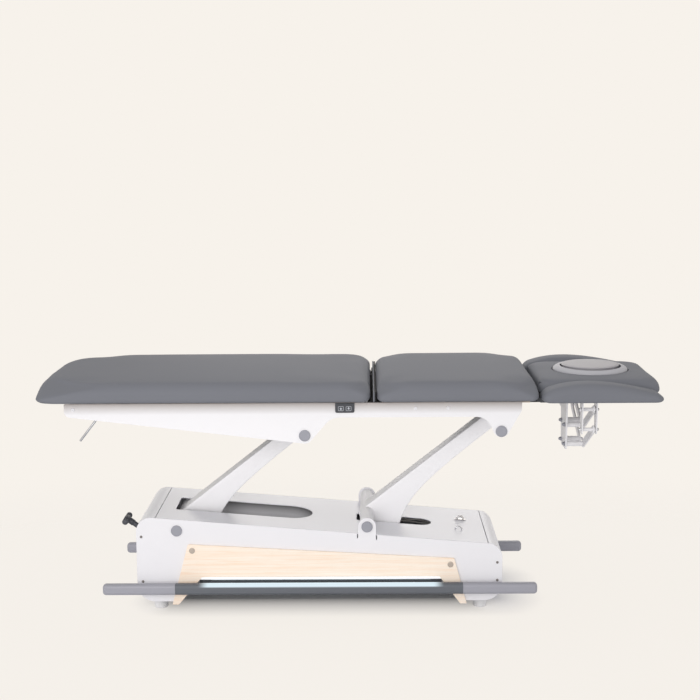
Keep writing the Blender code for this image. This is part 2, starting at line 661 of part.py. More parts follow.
def make_face_ring(m):
    """Trim ring of the face opening: a rounded collar on the cushion and a sleeve down the hole."""
    seat = HEAD_TOP + 0.001 + GAP
    rise = FACE_RING_RISE
    sleeve = FACE_HOLE_R - 2 * GAP
    slope = FACE_RING_R - FACE_RING_TOP_R
    profile = [(PAD_BOTTOM, sleeve), (seat, sleeve), (seat, FACE_RING_R - 0.002), (seat + 0.002, FACE_RING_R),
               (seat + rise * 0.45, FACE_RING_R - slope * 0.22),
               (seat + rise * 0.8, FACE_RING_R - slope * 0.6), (seat + rise, FACE_RING_TOP_R)]
    ring = turned("face_ring", profile, upright, m["pale"], FINE_STEPS)
    bore = along_z("face_bore", circle(Vector((FACE_CENTRE_X, 0)), FACE_HOLE_R - FACE_WALL, FINE_STEPS),
                   PAD_BOTTOM - 0.01, seat + rise + 0.01)
    return cut(ring, bore)


def make_face_plug(m):
    """Lift-out lid of the face opening, with a stub that centres it in the ring."""
    under = HEAD_TOP + 0.001 + FACE_RING_RISE + 2 * GAP
    top = under + FACE_LID_THICKNESS
    stub = FACE_HOLE_R - FACE_WALL - 2 * GAP
    profile = [(top - PLUG_DEPTH, stub - 0.004), (top - PLUG_DEPTH + 0.004, stub), (under, stub),
               (under, FACE_LID_R - 0.001), (under + 0.001, FACE_LID_R), (top - 0.002, FACE_LID_R),
               (top - 0.0005, FACE_LID_R - 0.003), (top, FACE_LID_R - 0.02)]
    return turned("face_plug", profile, upright, m["pale"], FINE_STEPS)


def make_hanger(m):
    """Plate that hangs under the head section and carries both armrests' links."""
    x0 = HEAD_START + HANGER_X
    x1 = x0 + HANGER_THICKNESS
    foot = LINK_INNER.y - LINK_R - 0.004
    plate = along_x("armrest_hanger", rounded([
        (-HANGER_HALF_WIDTH + 0.012, foot, 0.008), (HANGER_HALF_WIDTH - 0.012, foot, 0.008),
        (HANGER_HALF_WIDTH, HINGE_ARM_TOP, 0), (-HANGER_HALF_WIDTH, HINGE_ARM_TOP, 0)]), x0, x1, m["white"])
    bar_half = HEAD_HINGE_Y + HINGE_STEP - GAP
    joined(plate, block("hanger_bar", (x0 - 0.022, -bar_half, HINGE_ARM_TOP - HEAD_ARM_DEPTH),
                        (x0 + 0.001, bar_half, HINGE_ARM_TOP)))
    x2 = HEAD_START + BRACKET_X + BRACKET_LENGTH - 2 * BRACKET_PLATE
    for sign in (-1, 1):
        for level in (0, LINK_SPACING):
            y, z = sign * LINK_INNER.x, LINK_INNER.y + level
            tag = f"hanger_{sign}_{level}"
            spacer = rod(f"{tag}_spacer", (x0 + 0.002, y, z), (x2 - LINK_THICKNESS - GAP, y, z),
                         LINK_PIN_R + 0.003)
            joined(plate, spacer, rod(f"{tag}_pin", (x0 + 0.003, y, z), (x2 + 0.004, y, z), LINK_PIN_R))
    return plate


def make_link(name, sign, level, m):
    """Flat link from the hanger to an armrest bracket."""
    lift = Vector((0, level))
    ends = [Vector((sign * p.x, p.y)) + lift for p in (LINK_INNER, LINK_OUTER)]
    x1 = HEAD_START + BRACKET_X + BRACKET_LENGTH - 2 * BRACKET_PLATE
    x0 = x1 - LINK_THICKNESS
    link = along_x(name, stadium(ends[0], ends[1], LINK_R), x0, x1, m["white"])
    return cut(link, *[along_x(f"{name}_hole_{k}", circle(end, LINK_PIN_R + PIN_PLAY), x0 - 0.01, x1 + 0.01)
                       for k, end in enumerate(ends)])


def make_armrest(side, sign, m):
    """Domed arm cushion and the bracket of two plates under it."""
    ys = sorted((sign * (HALF_WIDTH - ARM_PAD_WIDTH), sign * HALF_WIDTH))
    base = PAD_BOTTOM - FRAME_CLEAR + GAP
    pad = cushion(f"armrest_pad_{side}", HEAD_START, HEAD_END, ys[0], ys[1], base, ARM_PAD_THICKNESS,
                  (ARM_PAD_CORNER,) * 4, ARM_PAD_DOME, m["vinyl"], ARM_PAD_ARCH, ARM_PAD_EDGE)
    name = f"armrest_bracket_{side}"
    x0 = HEAD_START + BRACKET_X
    x1 = x0 + BRACKET_LENGTH
    y = sign * LINK_OUTER.x
    foot = LINK_OUTER.y - LINK_R
    top = base - GAP
    foot_half = BRACKET_HALF_WIDTH * 0.6
    outline = rounded([(y - foot_half, foot, 0.008), (y + foot_half, foot, 0.008),
                       (y + BRACKET_HALF_WIDTH, top, 0), (y - BRACKET_HALF_WIDTH, top, 0)])
    flange = sorted((y - sign * BRACKET_FLANGE_IN, y + sign * BRACKET_HALF_WIDTH))
    bracket = along_x(name, outline, x0, x0 + BRACKET_PLATE, m["white"])
    joined(bracket, along_x(f"{name}_second", outline, x1 - BRACKET_PLATE, x1),
           block(f"{name}_flange", (x0 + BRACKET_PLATE / 2, flange[0], top - BRACKET_PLATE),
                 (x1 - BRACKET_PLATE / 2, flange[1], top - 0.0001)))
    for level in (0, LINK_SPACING):
        z = LINK_OUTER.y + level
        joined(bracket, rod(f"{name}_pin_{level}", (x0 - 0.004, y, z), (x1 + 0.004, y, z), LINK_PIN_R))
    return pad, bracket


# Lift arms

def arm_point(pivot, u, v):
    """Point along (u) and across (v) a lift arm, in the lifting plane."""
    return pivot + Matrix.Rotation(LIFT_ANGLE, 2) @ Vector((u, v))


def arm_outline(pivot, crank):
    """Side plate of a lift arm: straight on top, flared at its foot, with a crank lobe on one arm."""
    corners = [(-ARM_OVER, ARM_OVER, ARM_OVER * 0.95)]
    if crank:
        pin = Matrix.Rotation(CRANK_ANGLE - LIFT_ANGLE, 2) @ Vector((CRANK_R, 0))
        corners += [(pin.x - CRANK_LOBE * 1.05, pin.y - CRANK_LOBE * 0.4, CRANK_LOBE * 0.8),
                    (pin.x + CRANK_LOBE * 0.3, pin.y - CRANK_LOBE * 1.15, CRANK_LOBE * 0.8)]
    else:
        corners += [(-ARM_OVER, -ARM_UNDER, ARM_OVER * 0.8)]
    steps = 8
    start, end = 0.05, LIFT_LENGTH - 0.05
    for k in range(steps + 1):
        u = start + (end - start) * (k / steps) ** 1.6
        corners.append((u, -ARM_UNDER - FLARE_DEPTH * exp(-(u - 0.04) / FLARE_LENGTH), 0))
    tip = LIFT_LENGTH + ARM_UNDER
    corners += [(tip, -ARM_UNDER, ARM_UNDER * 0.8), (tip, ARM_OVER, ARM_OVER * 0.8)]
    return [arm_point(pivot, p.x, p.y) for p in rounded(corners)]


def make_lift_arm(name, lower, width, crank, m):
    """Folded channel arm, open below, with a hub tube at each pivot."""
    half = width / 2
    outline = arm_outline(lower, crank)
    arm = along_y(name, outline, -half, -half + ARM_WALL, m["white"])
    upper = arm_point(lower, LIFT_LENGTH, 0)
    web = [arm_point(lower, *p) for p in rectangle(0, LIFT_LENGTH, ARM_OVER - ARM_WALL, ARM_OVER - 0.0002)]
    joined(arm, along_y(f"{name}_side", outline, half - ARM_WALL, half),
           along_y(f"{name}_web", web, -half + ARM_WALL / 2, half - ARM_WALL / 2),
           along_y(f"{name}_hub", circle(lower, HUB_R), -INNER_HALF, INNER_HALF),
           along_y(f"{name}_upper_hub", circle(upper, HUB_R), -UPPER_HUB_HALF, UPPER_HUB_HALF))
    if crank:
        joined(arm, along_y(f"{name}_crank_pin", circle(CRANK_PIN, CRANK_PIN_R), -half + 0.001, half - 0.001))
    reach = BASE_HALF_WIDTH
    bores = [along_y(f"{name}_bore_{k}", circle(centre, SHAFT_R + PIN_PLAY), -reach, reach)
             for k, centre in enumerate((lower, upper))]
    return cut(arm, *bores)


def make_shaft(name, centre, half, m):
    """Pivot shaft with a round cap outside each wall."""
    cap_in = half + GAP
    cap_out = cap_in + CAP_THICKNESS
    side = [(cap_out, CAP_R - 0.001), (cap_out - 0.001, CAP_R), (cap_in, CAP_R), (cap_in, SHAFT_R)]
    profile = [(-y, r) for y, r in side] + [(y, r) for y, r in side[::-1]]
    return turned(name, profile, lambda y, p: (centre.x + p.x, y, centre.y + p.y), m["cap"])


# Base

def base_wall_outline():
    notch = [(BASE_FOOT_X + NOTCH_FOOT, BASE_BOTTOM, 0),
             (BASE_FOOT_X + NOTCH_FOOT + NOTCH_SLANT, NOTCH_TOP, 0.01),
             (BASE_HEAD_X - NOTCH_HEAD - NOTCH_SLANT * 0.875, NOTCH_TOP, 0.01),
             (BASE_HEAD_X - NOTCH_HEAD, BASE_BOTTOM, 0)]
    ear = [(LOWER_HEAD.x + EAR_R, top_of_base(LOWER_HEAD.x + EAR_R), 0),
           (LOWER_HEAD.x + EAR_R, LOWER_HEAD.y + EAR_R, EAR_R * 0.98),
           (LOWER_HEAD.x - EAR_R, LOWER_HEAD.y + EAR_R, EAR_R * 0.98),
           (LOWER_HEAD.x - EAR_R, top_of_base(LOWER_HEAD.x - EAR_R), 0)]
    head_end = [(BASE_HEAD_X, BASE_BOTTOM, BASE_LOW_CORNER), (BASE_HEAD_X, BASE_TOP_HEAD, BASE_TOP_CORNER)]
    return rounded([(BASE_FOOT_X, BASE_BOTTOM, BASE_LOW_CORNER)] + notch + head_end
                   + ear + [(BASE_FOOT_X, BASE_TOP_FOOT, BASE_TOP_CORNER)])


def wood_outline():
    head_slant = NOTCH_SLANT * 0.875
    notch_top = NOTCH_TOP + WOOD_NOTCH_LIP
    foot, head = BASE_FOOT_X + WOOD_FOOT, BASE_HEAD_X - WOOD_HEAD
    toe_foot, toe_head = foot - WOOD_SPREAD, head + WOOD_SPREAD * 0.75
    return rounded([(toe_foot, WOOD_BOTTOM, 0), (toe_foot + WOOD_FOOT_WIDTH, WOOD_BOTTOM, 0),
                    (toe_foot + WOOD_FOOT_WIDTH + NOTCH_SLANT, notch_top, WOOD_CORNER),
                    (toe_head - WOOD_FOOT_WIDTH - head_slant, notch_top, WOOD_CORNER),
                    (toe_head - WOOD_FOOT_WIDTH, WOOD_BOTTOM, 0), (toe_head, WOOD_BOTTOM, 0),
                    (head, WOOD_TOP_HEAD, WOOD_CORNER), (foot, WOOD_TOP_FOOT, WOOD_CORNER)])


def make_base_walls(m):
    pieces = []
    for side, sign in SIDES:
        wall = along_y(f"base_side_{side}", base_wall_outline(), sign * (BASE_HALF_WIDTH - SHEET),
                       sign * BASE_HALF_WIDTH, m["white"])
        for k, centre in enumerate((LOWER_FOOT, LOWER_HEAD)):
            cut(wall, along_y(f"base_side_{side}_hole_{k}", circle(centre, SHAFT_R + PIN_PLAY),
                              sign * (BASE_HALF_WIDTH - 0.02), sign * (BASE_HALF_WIDTH + 0.02)))
        panel_in = BASE_HALF_WIDTH + GAP
        panel = along_y(f"wood_panel_{side}", wood_outline(), sign * panel_in,
                        sign * (panel_in + WOOD_THICKNESS), m["wood"])
        pieces += [wall, panel]
    return pieces


def slot_cutter(name, x_back, x_front, half, round_r):
    outline = rounded([(x_back, -half, 0.012), (x_front, -half, round_r), (x_front, half, round_r),
                       (x_back, half, 0.012)])
    return along_z(name, outline, top_of_base(x_front) - BASE_TOP_CORNER,
                   top_of_base(x_back) + BASE_TOP_CORNER)


def make_base_top(m):
    """Sloping top sheet between the end covers, with a slot for each lift arm."""
    x0, x1 = SEAM_FOOT + GAP, SEAM_HEAD - GAP
    outline = [Vector((x0, top_of_base(x0) - SHEET)), Vector((x1, top_of_base(x1) - SHEET)),
               Vector((x1, top_of_base(x1))), Vector((x0, top_of_base(x0)))]
    sheet = along_y("base_top", outline, -INNER_HALF, INNER_HALF, m["white"])
    foot_slot = slot_cutter("foot_slot", LOWER_FOOT.x - FOOT_SLOT_BACK, LOWER_FOOT.x + FOOT_SLOT_REACH,
                            FOOT_SLOT_HALF, FOOT_SLOT_HALF * 0.97)
    head_slot = slot_cutter("head_slot", LOWER_HEAD.x - HEAD_SLOT_BACK, LOWER_HEAD.x + HEAD_SLOT_REACH,
                            HEAD_SLOT_HALF, HEAD_SLOT_HALF * 0.97)
    return cut(sheet, foot_slot, head_slot)


def end_cover_outline(end_x, seam_x, low_x):
    """Bent sheet round one end of the base, as an outer path and the same path drawn in."""
    inward = 1 if seam_x > end_x else -1
    top_end, top_seam = top_of_base(end_x), top_of_base(seam_x)
    outer = [(seam_x, top_seam, 0), (end_x, top_end, BASE_TOP_CORNER), (end_x, BASE_BOTTOM, BASE_LOW_CORNER),
             (low_x, BASE_BOTTOM, 0)]
    inner_x = end_x + inward * SHEET
    inner = [(low_x, BASE_BOTTOM + SHEET, 0), (inner_x, BASE_BOTTOM + SHEET, BASE_LOW_CORNER - SHEET),
             (inner_x, top_end - SHEET, BASE_TOP_CORNER - SHEET), (seam_x, top_seam - SHEET, 0)]
    return rounded(outer + inner)


def make_end_covers(m):
    low_foot = BASE_FOOT_X + BASE_LOW_CORNER
    low_head = BASE_HEAD_X - BASE_LOW_CORNER
    foot = along_y("base_end_foot", end_cover_outline(BASE_FOOT_X, SEAM_FOOT, low_foot), -INNER_HALF,
                   INNER_HALF, m["white"])
    slot_top = LEVER_PIVOT.y + LEVER_PIVOT_X * tan(LEVER_ANGLE) + LEVER_ROD_R * 1.7
    slot_low = LEVER_PIVOT.y - LEVER_ROD_R * 1.7
    cut(foot, block("lever_slot", (BASE_FOOT_X - 0.01, -LEVER_SLOT_HALF, slot_low),
                    (BASE_FOOT_X + 0.01, LEVER_SLOT_HALF, slot_top)), wheel_well("cover_well"))
    head = along_y("base_end_head", end_cover_outline(BASE_HEAD_X, SEAM_HEAD, low_head), -INNER_HALF,
                   INNER_HALF, m["white"])
    x, half_y, half_z = BASE_HEAD_X + GAP, INLET_SIZE[1] / 2, INLET_SIZE[2] / 2
    outline = rounded([(*corner, 0.004) for corner in (
        (INLET_Y - half_y, INLET_Z - half_z), (INLET_Y + half_y, INLET_Z - half_z),
        (INLET_Y + half_y, INLET_Z + half_z), (INLET_Y - half_y, INLET_Z + half_z))])
    inlet = along_x("mains_inlet", outline, x, x + INLET_SIZE[0], m["dark"])
    cut(inlet, block("inlet_socket", (x + INLET_SIZE[0] / 2, INLET_Y - half_y / 2, INLET_Z - half_z / 2),
                     (x + 0.02, INLET_Y + half_y / 2, INLET_Z + half_z / 2)))
    return foot, head, inlet


def wheel_well(name):
    """Cutter for the floor over the transport wheels' path."""
    return block(name, (WHEEL_CENTRE.x - WHEEL_R - 0.006, -WHEEL_WELL_HALF, 0.02),
                 (LEVER_PIVOT.x + WHEEL_R, WHEEL_WELL_HALF, LEVER_PIVOT.y - LEVER_SHAFT_R - 0.02))


def make_tray(m):
    """Folded floor sheet: high over the toe notch, low at the ends, with the foot bars' pivot pins."""
    low0, low1 = BASE_FOOT_X + BASE_LOW_CORNER + GAP, BASE_HEAD_X - BASE_LOW_CORNER - GAP
    ramp0, ramp1 = BASE_FOOT_X + NOTCH_FOOT - 0.005, BASE_HEAD_X - NOTCH_HEAD + 0.005
    high0, high1 = ramp0 + NOTCH_SLANT, ramp1 - NOTCH_SLANT * 0.875
    low = (BASE_BOTTOM, BASE_BOTTOM + SHEET)
    high = (TRAY_TOP - SHEET, TRAY_TOP)
    lean = SHEET / 2
    outline = [Vector(p) for p in (
        (low0, low[0]), (ramp0, low[0]), (high0, high[0]), (high1, high[0]), (ramp1, low[0]), (low1, low[0]),
        (low1, low[1]), (ramp1 + lean, low[1]), (high1 + lean, high[1]), (high0 - lean, high[1]),
        (ramp0 - lean, low[1]), (low0, low[1]))]
    tray = along_y("base_tray", outline, -INNER_HALF, INNER_HALF, m["white"])
    for sign in (-1, 1):
        for k, x in enumerate(BAR_ARM_X):
            y = sign * BAR_PIVOT_Y
            reach = BAR_PIN_R + 0.007
            outline = rectangle(y - reach, y + reach, BAR_PIVOT_Z - reach, TRAY_TOP - SHEET / 2)
            lug = along_x(f"tray_lug_{sign}_{k}", outline, x - BAR_LUG, x)
            pin = rod(f"tray_pin_{sign}_{k}", (x - BAR_LUG / 2, y, BAR_PIVOT_Z),
                      (x + BAR_ARM_THICKNESS + 0.002, y, BAR_PIVOT_Z), BAR_PIN_R)
            joined(tray, lug, pin)
    return cut(tray, wheel_well("tray_well"))


def make_feet(m):
    pieces = []
    xs = (BASE_FOOT_X + FOOT_INSET_FOOT, BASE_HEAD_X - FOOT_INSET_HEAD)
    height = BASE_BOTTOM - GAP
    profile = [(0, FOOT_R - 0.004), (0.004, FOOT_R), (height - 0.006, FOOT_R), (height, FOOT_R - 0.002)]
    for end, x in zip(("foot", "head"), xs):
        for side, sign in SIDES:
            pieces.append(turned(f"floor_foot_{end}_{side}", profile,
                                 lambda z, p, x=x, y=sign * FOOT_Y: (x + p.x, y + p.y, z), m["cap"]))
    return pieces


def make_led_strips(m):
    x0 = BASE_FOOT_X + NOTCH_FOOT + NOTCH_SLANT + LED_END
    x1 = BASE_HEAD_X - NOTCH_HEAD - NOTCH_SLANT * 0.875 - LED_END
    top = TRAY_TOP - SHEET - GAP
    outer = BASE_HALF_WIDTH - LED_INSET
    strips = []
    for side, sign in SIDES:
        ys = sorted((sign * outer, sign * (outer - LED_DEPTH)))
        strips.append(block(f"led_strip_{side}", (x0, ys[0], top - LED_HEIGHT), (x1, ys[1], top), m["light"]))
    return strips


def make_foot_bar(side, sign, m):
    """Long control bar on two short arms that rock on the floor sheet's pins."""
    name = f"foot_bar_{side}"
    y, half_d, half_h = sign * BAR_Y, BAR_DEPTH / 2, BAR_HEIGHT / 2
    x0, x1 = BAR_CENTRE_X - BAR_LENGTH / 2, BAR_CENTRE_X + BAR_LENGTH / 2
    rings = []
    nose = ((0, 0.009), (0.003, 0.004), (0.010, 0))
    stations = [(x0 + step, inset) for step, inset in nose]
    stations += [(x1 - step, inset) for step, inset in nose[::-1]]
    for x, inset in stations:
        section = plan(y - half_d, y + half_d, BAR_Z - half_h, BAR_Z + half_h, (BAR_ROUND,) * 4, inset)
        rings.append([(x, p.x, p.y) for p in section])
    bar = loft(name, rings, m["bar"])
    pivot = Vector((sign * BAR_PIVOT_Y, BAR_PIVOT_Z))
    for k, x in enumerate(BAR_ARM_X):
        start = x + GAP
        end = start + BAR_ARM_THICKNESS
        outline = stadium(pivot, Vector((sign * (BAR_Y - half_d / 2), BAR_PIVOT_Z)), BAR_ARM_DEPTH / 2)
        joined(bar, along_x(f"{name}_arm_{k}", outline, start, end))
        cut(bar, along_x(f"{name}_hole_{k}", circle(pivot, BAR_PIN_R + PIN_PLAY), start - 0.01, end + 0.01))
    return bar


def make_castor_lever(m):
    """Tee-handled lever on a cross shaft, with two arms down to the transport wheels."""
    pivot, tee, half = LEVER_PIVOT, TEE_CENTRE, TEE_LENGTH / 2
    shaft = rod("castor_lever", (pivot.x, -INNER_HALF, pivot.y), (pivot.x, INNER_HALF, pivot.y),
                LEVER_SHAFT_R, m["dark"])
    joined(shaft, rod("lever_stem", (pivot.x, 0, pivot.y), (tee.x, 0, tee.y), LEVER_ROD_R),
           rod("lever_tee", (tee.x, -half, tee.y), (tee.x, half, tee.y), TEE_R))
    arm = stadium(pivot, WHEEL_CENTRE, LEVER_SHAFT_R + 0.003)
    for side, sign in SIDES:
        ys = sorted((sign * LEVER_ARM_Y, sign * (LEVER_ARM_Y + LEVER_ARM_THICKNESS)))
        joined(shaft, along_y(f"lever_arm_{side}", arm, *ys))
    reach = LEVER_ARM_Y + LEVER_ARM_THICKNESS + 0.01
    return cut(shaft, along_y("lever_axle_hole", circle(WHEEL_CENTRE, AXLE_R + PIN_PLAY), -reach, reach))


def make_castor_wheels(m):
    """Pair of transport wheels on one axle."""
    y0, y1 = WHEEL_Y, WHEEL_Y + WHEEL_WIDTH
    round_r = WHEEL_R - 0.004
    half = [(y1, round_r), (y1 - 0.004, WHEEL_R), (y0 + 0.004, WHEEL_R), (y0, round_r), (y0, AXLE_R)]
    profile = [(-y, r) for y, r in half] + [(y, r) for y, r in half[::-1]]
    centre = WHEEL_CENTRE
    return turned("castor_wheels", profile, lambda y, p: (centre.x + p.x, y, centre.y + p.y), m["tyre"])


def make_drive(m):
    """Lift actuator: fixed body on the tray, and a rod whose slotted yoke drives the head arm's crank."""
    foot_x, head_x = LOWER_HEAD.x - ACTUATOR_FOOT, LOWER_HEAD.x - ACTUATOR_HEAD
    seat = TRAY_TOP + GAP
    body = rod("actuator_body", (foot_x, 0, ACTUATOR_Z), (head_x, 0, ACTUATOR_Z), ACTUATOR_R, m["cap"])
    motor_x, stand_half = foot_x + 0.01, ACTUATOR_R * 0.8
    motor = block("motor", (motor_x, -MOTOR_HALF, seat), (motor_x + MOTOR_LENGTH, MOTOR_HALF, ACTUATOR_Z))
    joined(body, motor,
           block("actuator_stand", (head_x - 0.05, -stand_half, seat),
                 (head_x - 0.02, stand_half, ACTUATOR_Z - ACTUATOR_R * 0.6)))
    bore_x = head_x - ACTUATOR_BORE
    cut(body, rod("actuator_bore", (bore_x, 0, ACTUATOR_Z), (head_x + 0.01, 0, ACTUATOR_Z),
                  ACTUATOR_ROD_R + PIN_PLAY))
    centre_x = CRANK_PIN.x - YOKE_SHIFT
    slot_r = CRANK_PIN_R + YOKE_PLAY
    low, high = LOWER_HEAD.y - CRANK_R, LOWER_HEAD.y - CRANK_R * 0.64
    yoke_x = (centre_x - YOKE_HALF, centre_x + YOKE_HALF)
    yoke_z = (ACTUATOR_Z - ACTUATOR_ROD_R - 0.003, high + slot_r + 0.009)
    yoke = along_y("actuator_rod", rounded([
        (yoke_x[0], yoke_z[0], 0.004), (yoke_x[1], yoke_z[0], 0.004), (yoke_x[1], yoke_z[1], 0.012),
        (yoke_x[0], yoke_z[1], 0.012)]), -YOKE_THICKNESS / 2, YOKE_THICKNESS / 2, m["steel"])
    joined(yoke, rod("rod_bar", (bore_x + 0.065, 0, ACTUATOR_Z), (yoke_x[0] + 0.004, 0, ACTUATOR_Z),
                     ACTUATOR_ROD_R))
    slot = stadium(Vector((centre_x, low)), Vector((centre_x, high)), slot_r)
    cut(yoke, along_y("yoke_slot", slot, -0.02, 0.02))
    box_x, (length, width, height) = LOWER_HEAD.x + CONTROL_X, CONTROL_SIZE
    control = block("control_box", (box_x, -width / 2, seat), (box_x + length, width / 2, seat + height),
                    m["dark"])
    return body, yoke, control


def make_cable_loops(m):
    """Two wire loops on the top sheet for winding up the cable."""
    pieces = []
    for name, (dx, y) in zip(("near", "far"), LOOP_PLACES):
        x = LOWER_HEAD.x + dx
        steps = 8
        seat = GAP + LOOP_WIRE / 4
        points = []
        for k in range(steps + 1):
            along = x - LOOP_R * cos(pi * k / steps)
            points.append((along, y, top_of_base(along) + seat + LOOP_R * sin(pi * k / steps)))
        curve = bpy.data.curves.new(f"cable_loop_{name}", "CURVE")
        curve.dimensions = "3D"
        curve.bevel_depth = LOOP_WIRE
        curve.bevel_resolution = 1
        curve.use_fill_caps = True
        spline = curve.splines.new("POLY")
        spline.points.add(len(points) - 1)
        for point, place in zip(spline.points, points):
            point.co = (*place, 1)
        curve.materials.append(m["steel"])
        loop = bpy.data.objects.new(f"cable_loop_{name}", curve)
        bpy.context.scene.collection.objects.link(loop)
        pieces.append(loop)
    return pieces


# Top frame

def frame_side_outline():
    """Side plate: long tapered wing, a lobe round each upper pivot and a slim link between them."""
    foot_x, head_x = FOOT_END + FRAME_FOOT, UPPER_HEAD.x + FRAME_HEAD_X
    wing_low = FRAME_TOP - FRAME_FOOT_DEPTH
    link_low = FRAME_TOP - FRAME_LINK_DEPTH
    wing = atan2(UPPER_FOOT.y - FRAME_LOBE - wing_low, UPPER_FOOT.x - foot_x)
    rise, sweep = radians(49), radians(58)
    lobe_foot = lobe(UPPER_FOOT, FRAME_LOBE, wing, rise)
    climb = (link_low - lobe_foot[1]) / tan(rise)
    lobe_head = lobe(UPPER_HEAD, FRAME_LOBE, -pi / 2, sweep)
    shoulder = UPPER_HEAD.y + FRAME_LOBE * 2.6
    lean = (shoulder - lobe_head[1]) / tan(sweep)
    return rounded([
        (foot_x, FRAME_TOP, 0), (foot_x, wing_low, 0.024), lobe_foot,
        (lobe_foot[0] + climb, link_low, 0.06), (UPPER_HEAD.x - FRAME_LOBE, link_low, 0.044), lobe_head,
        (min(lobe_head[0] + lean, head_x), shoulder, 0.02), (head_x, FRAME_TOP, 0)])


def make_top_frame(m):
    pieces = []
    for side, sign in SIDES:
        plate = along_y(f"frame_side_{side}", frame_side_outline(), sign * (FRAME_HALF_WIDTH - FRAME_PLATE),
                        sign * FRAME_HALF_WIDTH, m["white"])
        for k, centre in enumerate((UPPER_FOOT, UPPER_HEAD)):
            cut(plate, along_y(f"frame_side_{side}_hole_{k}", circle(centre, SHAFT_R + PIN_PLAY),
                               sign * (FRAME_HALF_WIDTH - 0.02), sign * (FRAME_HALF_WIDTH + 0.02)))
        pieces.append(plate)
    for name, centre in (("foot", CROSS_FOOT), ("mid", CROSS_MID), ("head", CROSS_HEAD)):
        pieces.append(along_y(f"frame_cross_{name}", circle(centre, CROSS_R), -FRAME_INNER, FRAME_INNER,
                              m["white"]))
    add_lugs(pieces[-2], "leg_lug", LEG_AXIS, CROSS_MID, LEG_HINGE_Y)
    add_lugs(pieces[-1], "head_lug", HEAD_AXIS, CROSS_HEAD, HEAD_HINGE_Y)
    pieces += [make_shaft("frame_shaft_foot", UPPER_FOOT, FRAME_HALF_WIDTH, m),
               make_shaft("frame_shaft_head", UPPER_HEAD, FRAME_HALF_WIDTH, m)]
    y = -FRAME_HALF_WIDTH - GAP
    panel_x = [UPPER_FOOT.x + dx for dx in PANEL_X]
    panel = along_y("control_panel", rounded([
        (panel_x[0], FRAME_TOP - PANEL_HEIGHT, 0.005), (panel_x[1], FRAME_TOP - PANEL_HEIGHT, 0.005),
        (panel_x[1], FRAME_TOP, 0.001), (panel_x[0], FRAME_TOP, 0.001)]), y - PANEL_THICKNESS, y, m["dark"])
    return pieces + [panel]


def add_lugs(cross, name, axis, centre, y_low):
    """Fixed hinge lugs: a strip along under the cushion and an upright to the axis."""
    inward = 1 if centre.x > axis.x else -1
    low, level = HINGE_ARM_TOP - HEAD_ARM_DEPTH, HINGE_ARM_TOP
    outline = rounded([(axis.x - inward * HINGE_END_R, low, 0.004), (centre.x, low, 0), (centre.x, level, 0),
                       (axis.x + inward * HINGE_END_R, level, 0),
                       (axis.x + inward * HINGE_END_R, axis.y + HINGE_END_R, HINGE_END_R * 0.98),
                       (axis.x - inward * HINGE_END_R, axis.y + HINGE_END_R, HINGE_END_R * 0.98)])
    for side, sign in SIDES:
        ys = sorted((sign * y_low, sign * (y_low + HINGE_PLATE)))
        joined(cross, along_y(f"{name}_{side}", outline, *ys))
        cut(cross, along_y(f"{name}_{side}_hole", circle(axis, HINGE_PIN_R + PIN_PLAY), ys[0] - 0.002,
                           ys[1] + 0.002))


# Assembly

def carry(name, place, *pieces):
    """Hang pieces on an empty that stands on their joint's axis."""
    axis = bpy.data.objects.new(name, None)
    axis.location = place
    bpy.context.scene.collection.objects.link(axis)
    for piece in pieces:
        piece.parent = axis
        piece.matrix_parent_inverse = Matrix.Translation(place).inverted()
    return axis


def in_plane(point, y=0.0):
    return Vector((point.x, y, point.y))


def build():
    for item in list(bpy.data.objects):
        bpy.data.objects.remove(item)
    m = make_materials()
    make_base_walls(m)
    make_base_top(m)
    make_end_covers(m)
    make_tray(m)
    make_feet(m)
    make_led_strips(m)
    make_cable_loops(m)
    make_shaft("pivot_shaft_foot", LOWER_FOOT, BASE_HALF_WIDTH, m)
    make_shaft("pivot_shaft_head", LOWER_HEAD, BASE_HALF_WIDTH, m)
    make_drive(m)
    for side, sign in SIDES:
        carry(f"foot_bar_{side}_axis", (0, sign * BAR_PIVOT_Y, BAR_PIVOT_Z), make_foot_bar(side, sign, m))
    carry("castor_lever_axis", in_plane(LEVER_PIVOT), make_castor_lever(m))
    carry("castor_wheel_axis", in_plane(WHEEL_CENTRE), make_castor_wheels(m))
    carry("lift_foot_axis", in_plane(LOWER_FOOT),
          make_lift_arm("lift_arm_foot", LOWER_FOOT, FOOT_ARM_WIDTH, False, m))
    carry("lift_head_axis", in_plane(LOWER_HEAD),
          make_lift_arm("lift_arm_head", LOWER_HEAD, HEAD_ARM_WIDTH, True, m))
    tube, spring_rod = make_gas_spring(m)
    carry("top_frame_axis", in_plane(UPPER_FOOT), tube, *make_top_frame(m), *make_middle_section(m))
    carry("gas_rod_axis", in_plane(SPRING_TIP, SPRING_Y), spring_rod)
    carry("leg_axis", in_plane(LEG_AXIS), *make_leg_section(m))
    carry("release_axis", in_plane(RELEASE_PIVOT), make_release_lever(m))
    carry("head_axis", in_plane(HEAD_AXIS), *make_head_section(m))
    carry("face_plug_axis", (FACE_CENTRE_X, 0, HEAD_TOP), make_face_plug(m))
    for side, sign in SIDES:
        inner = (HEAD_START, sign * LINK_INNER.x, LINK_INNER.y)
        upper = (HEAD_START, sign * LINK_INNER.x, LINK_INNER.y + LINK_SPACING)
        outer = (HEAD_START, sign * LINK_OUTER.x, LINK_OUTER.y + LINK_SPACING)
        carry(f"lower_link_{side}_axis", inner, make_link(f"lower_link_{side}", sign, 0, m))
        carry(f"upper_link_{side}_axis", upper, make_link(f"upper_link_{side}", sign, LINK_SPACING, m))
        carry(f"armrest_{side}_axis", outer, *make_armrest(side, sign, m))


build()
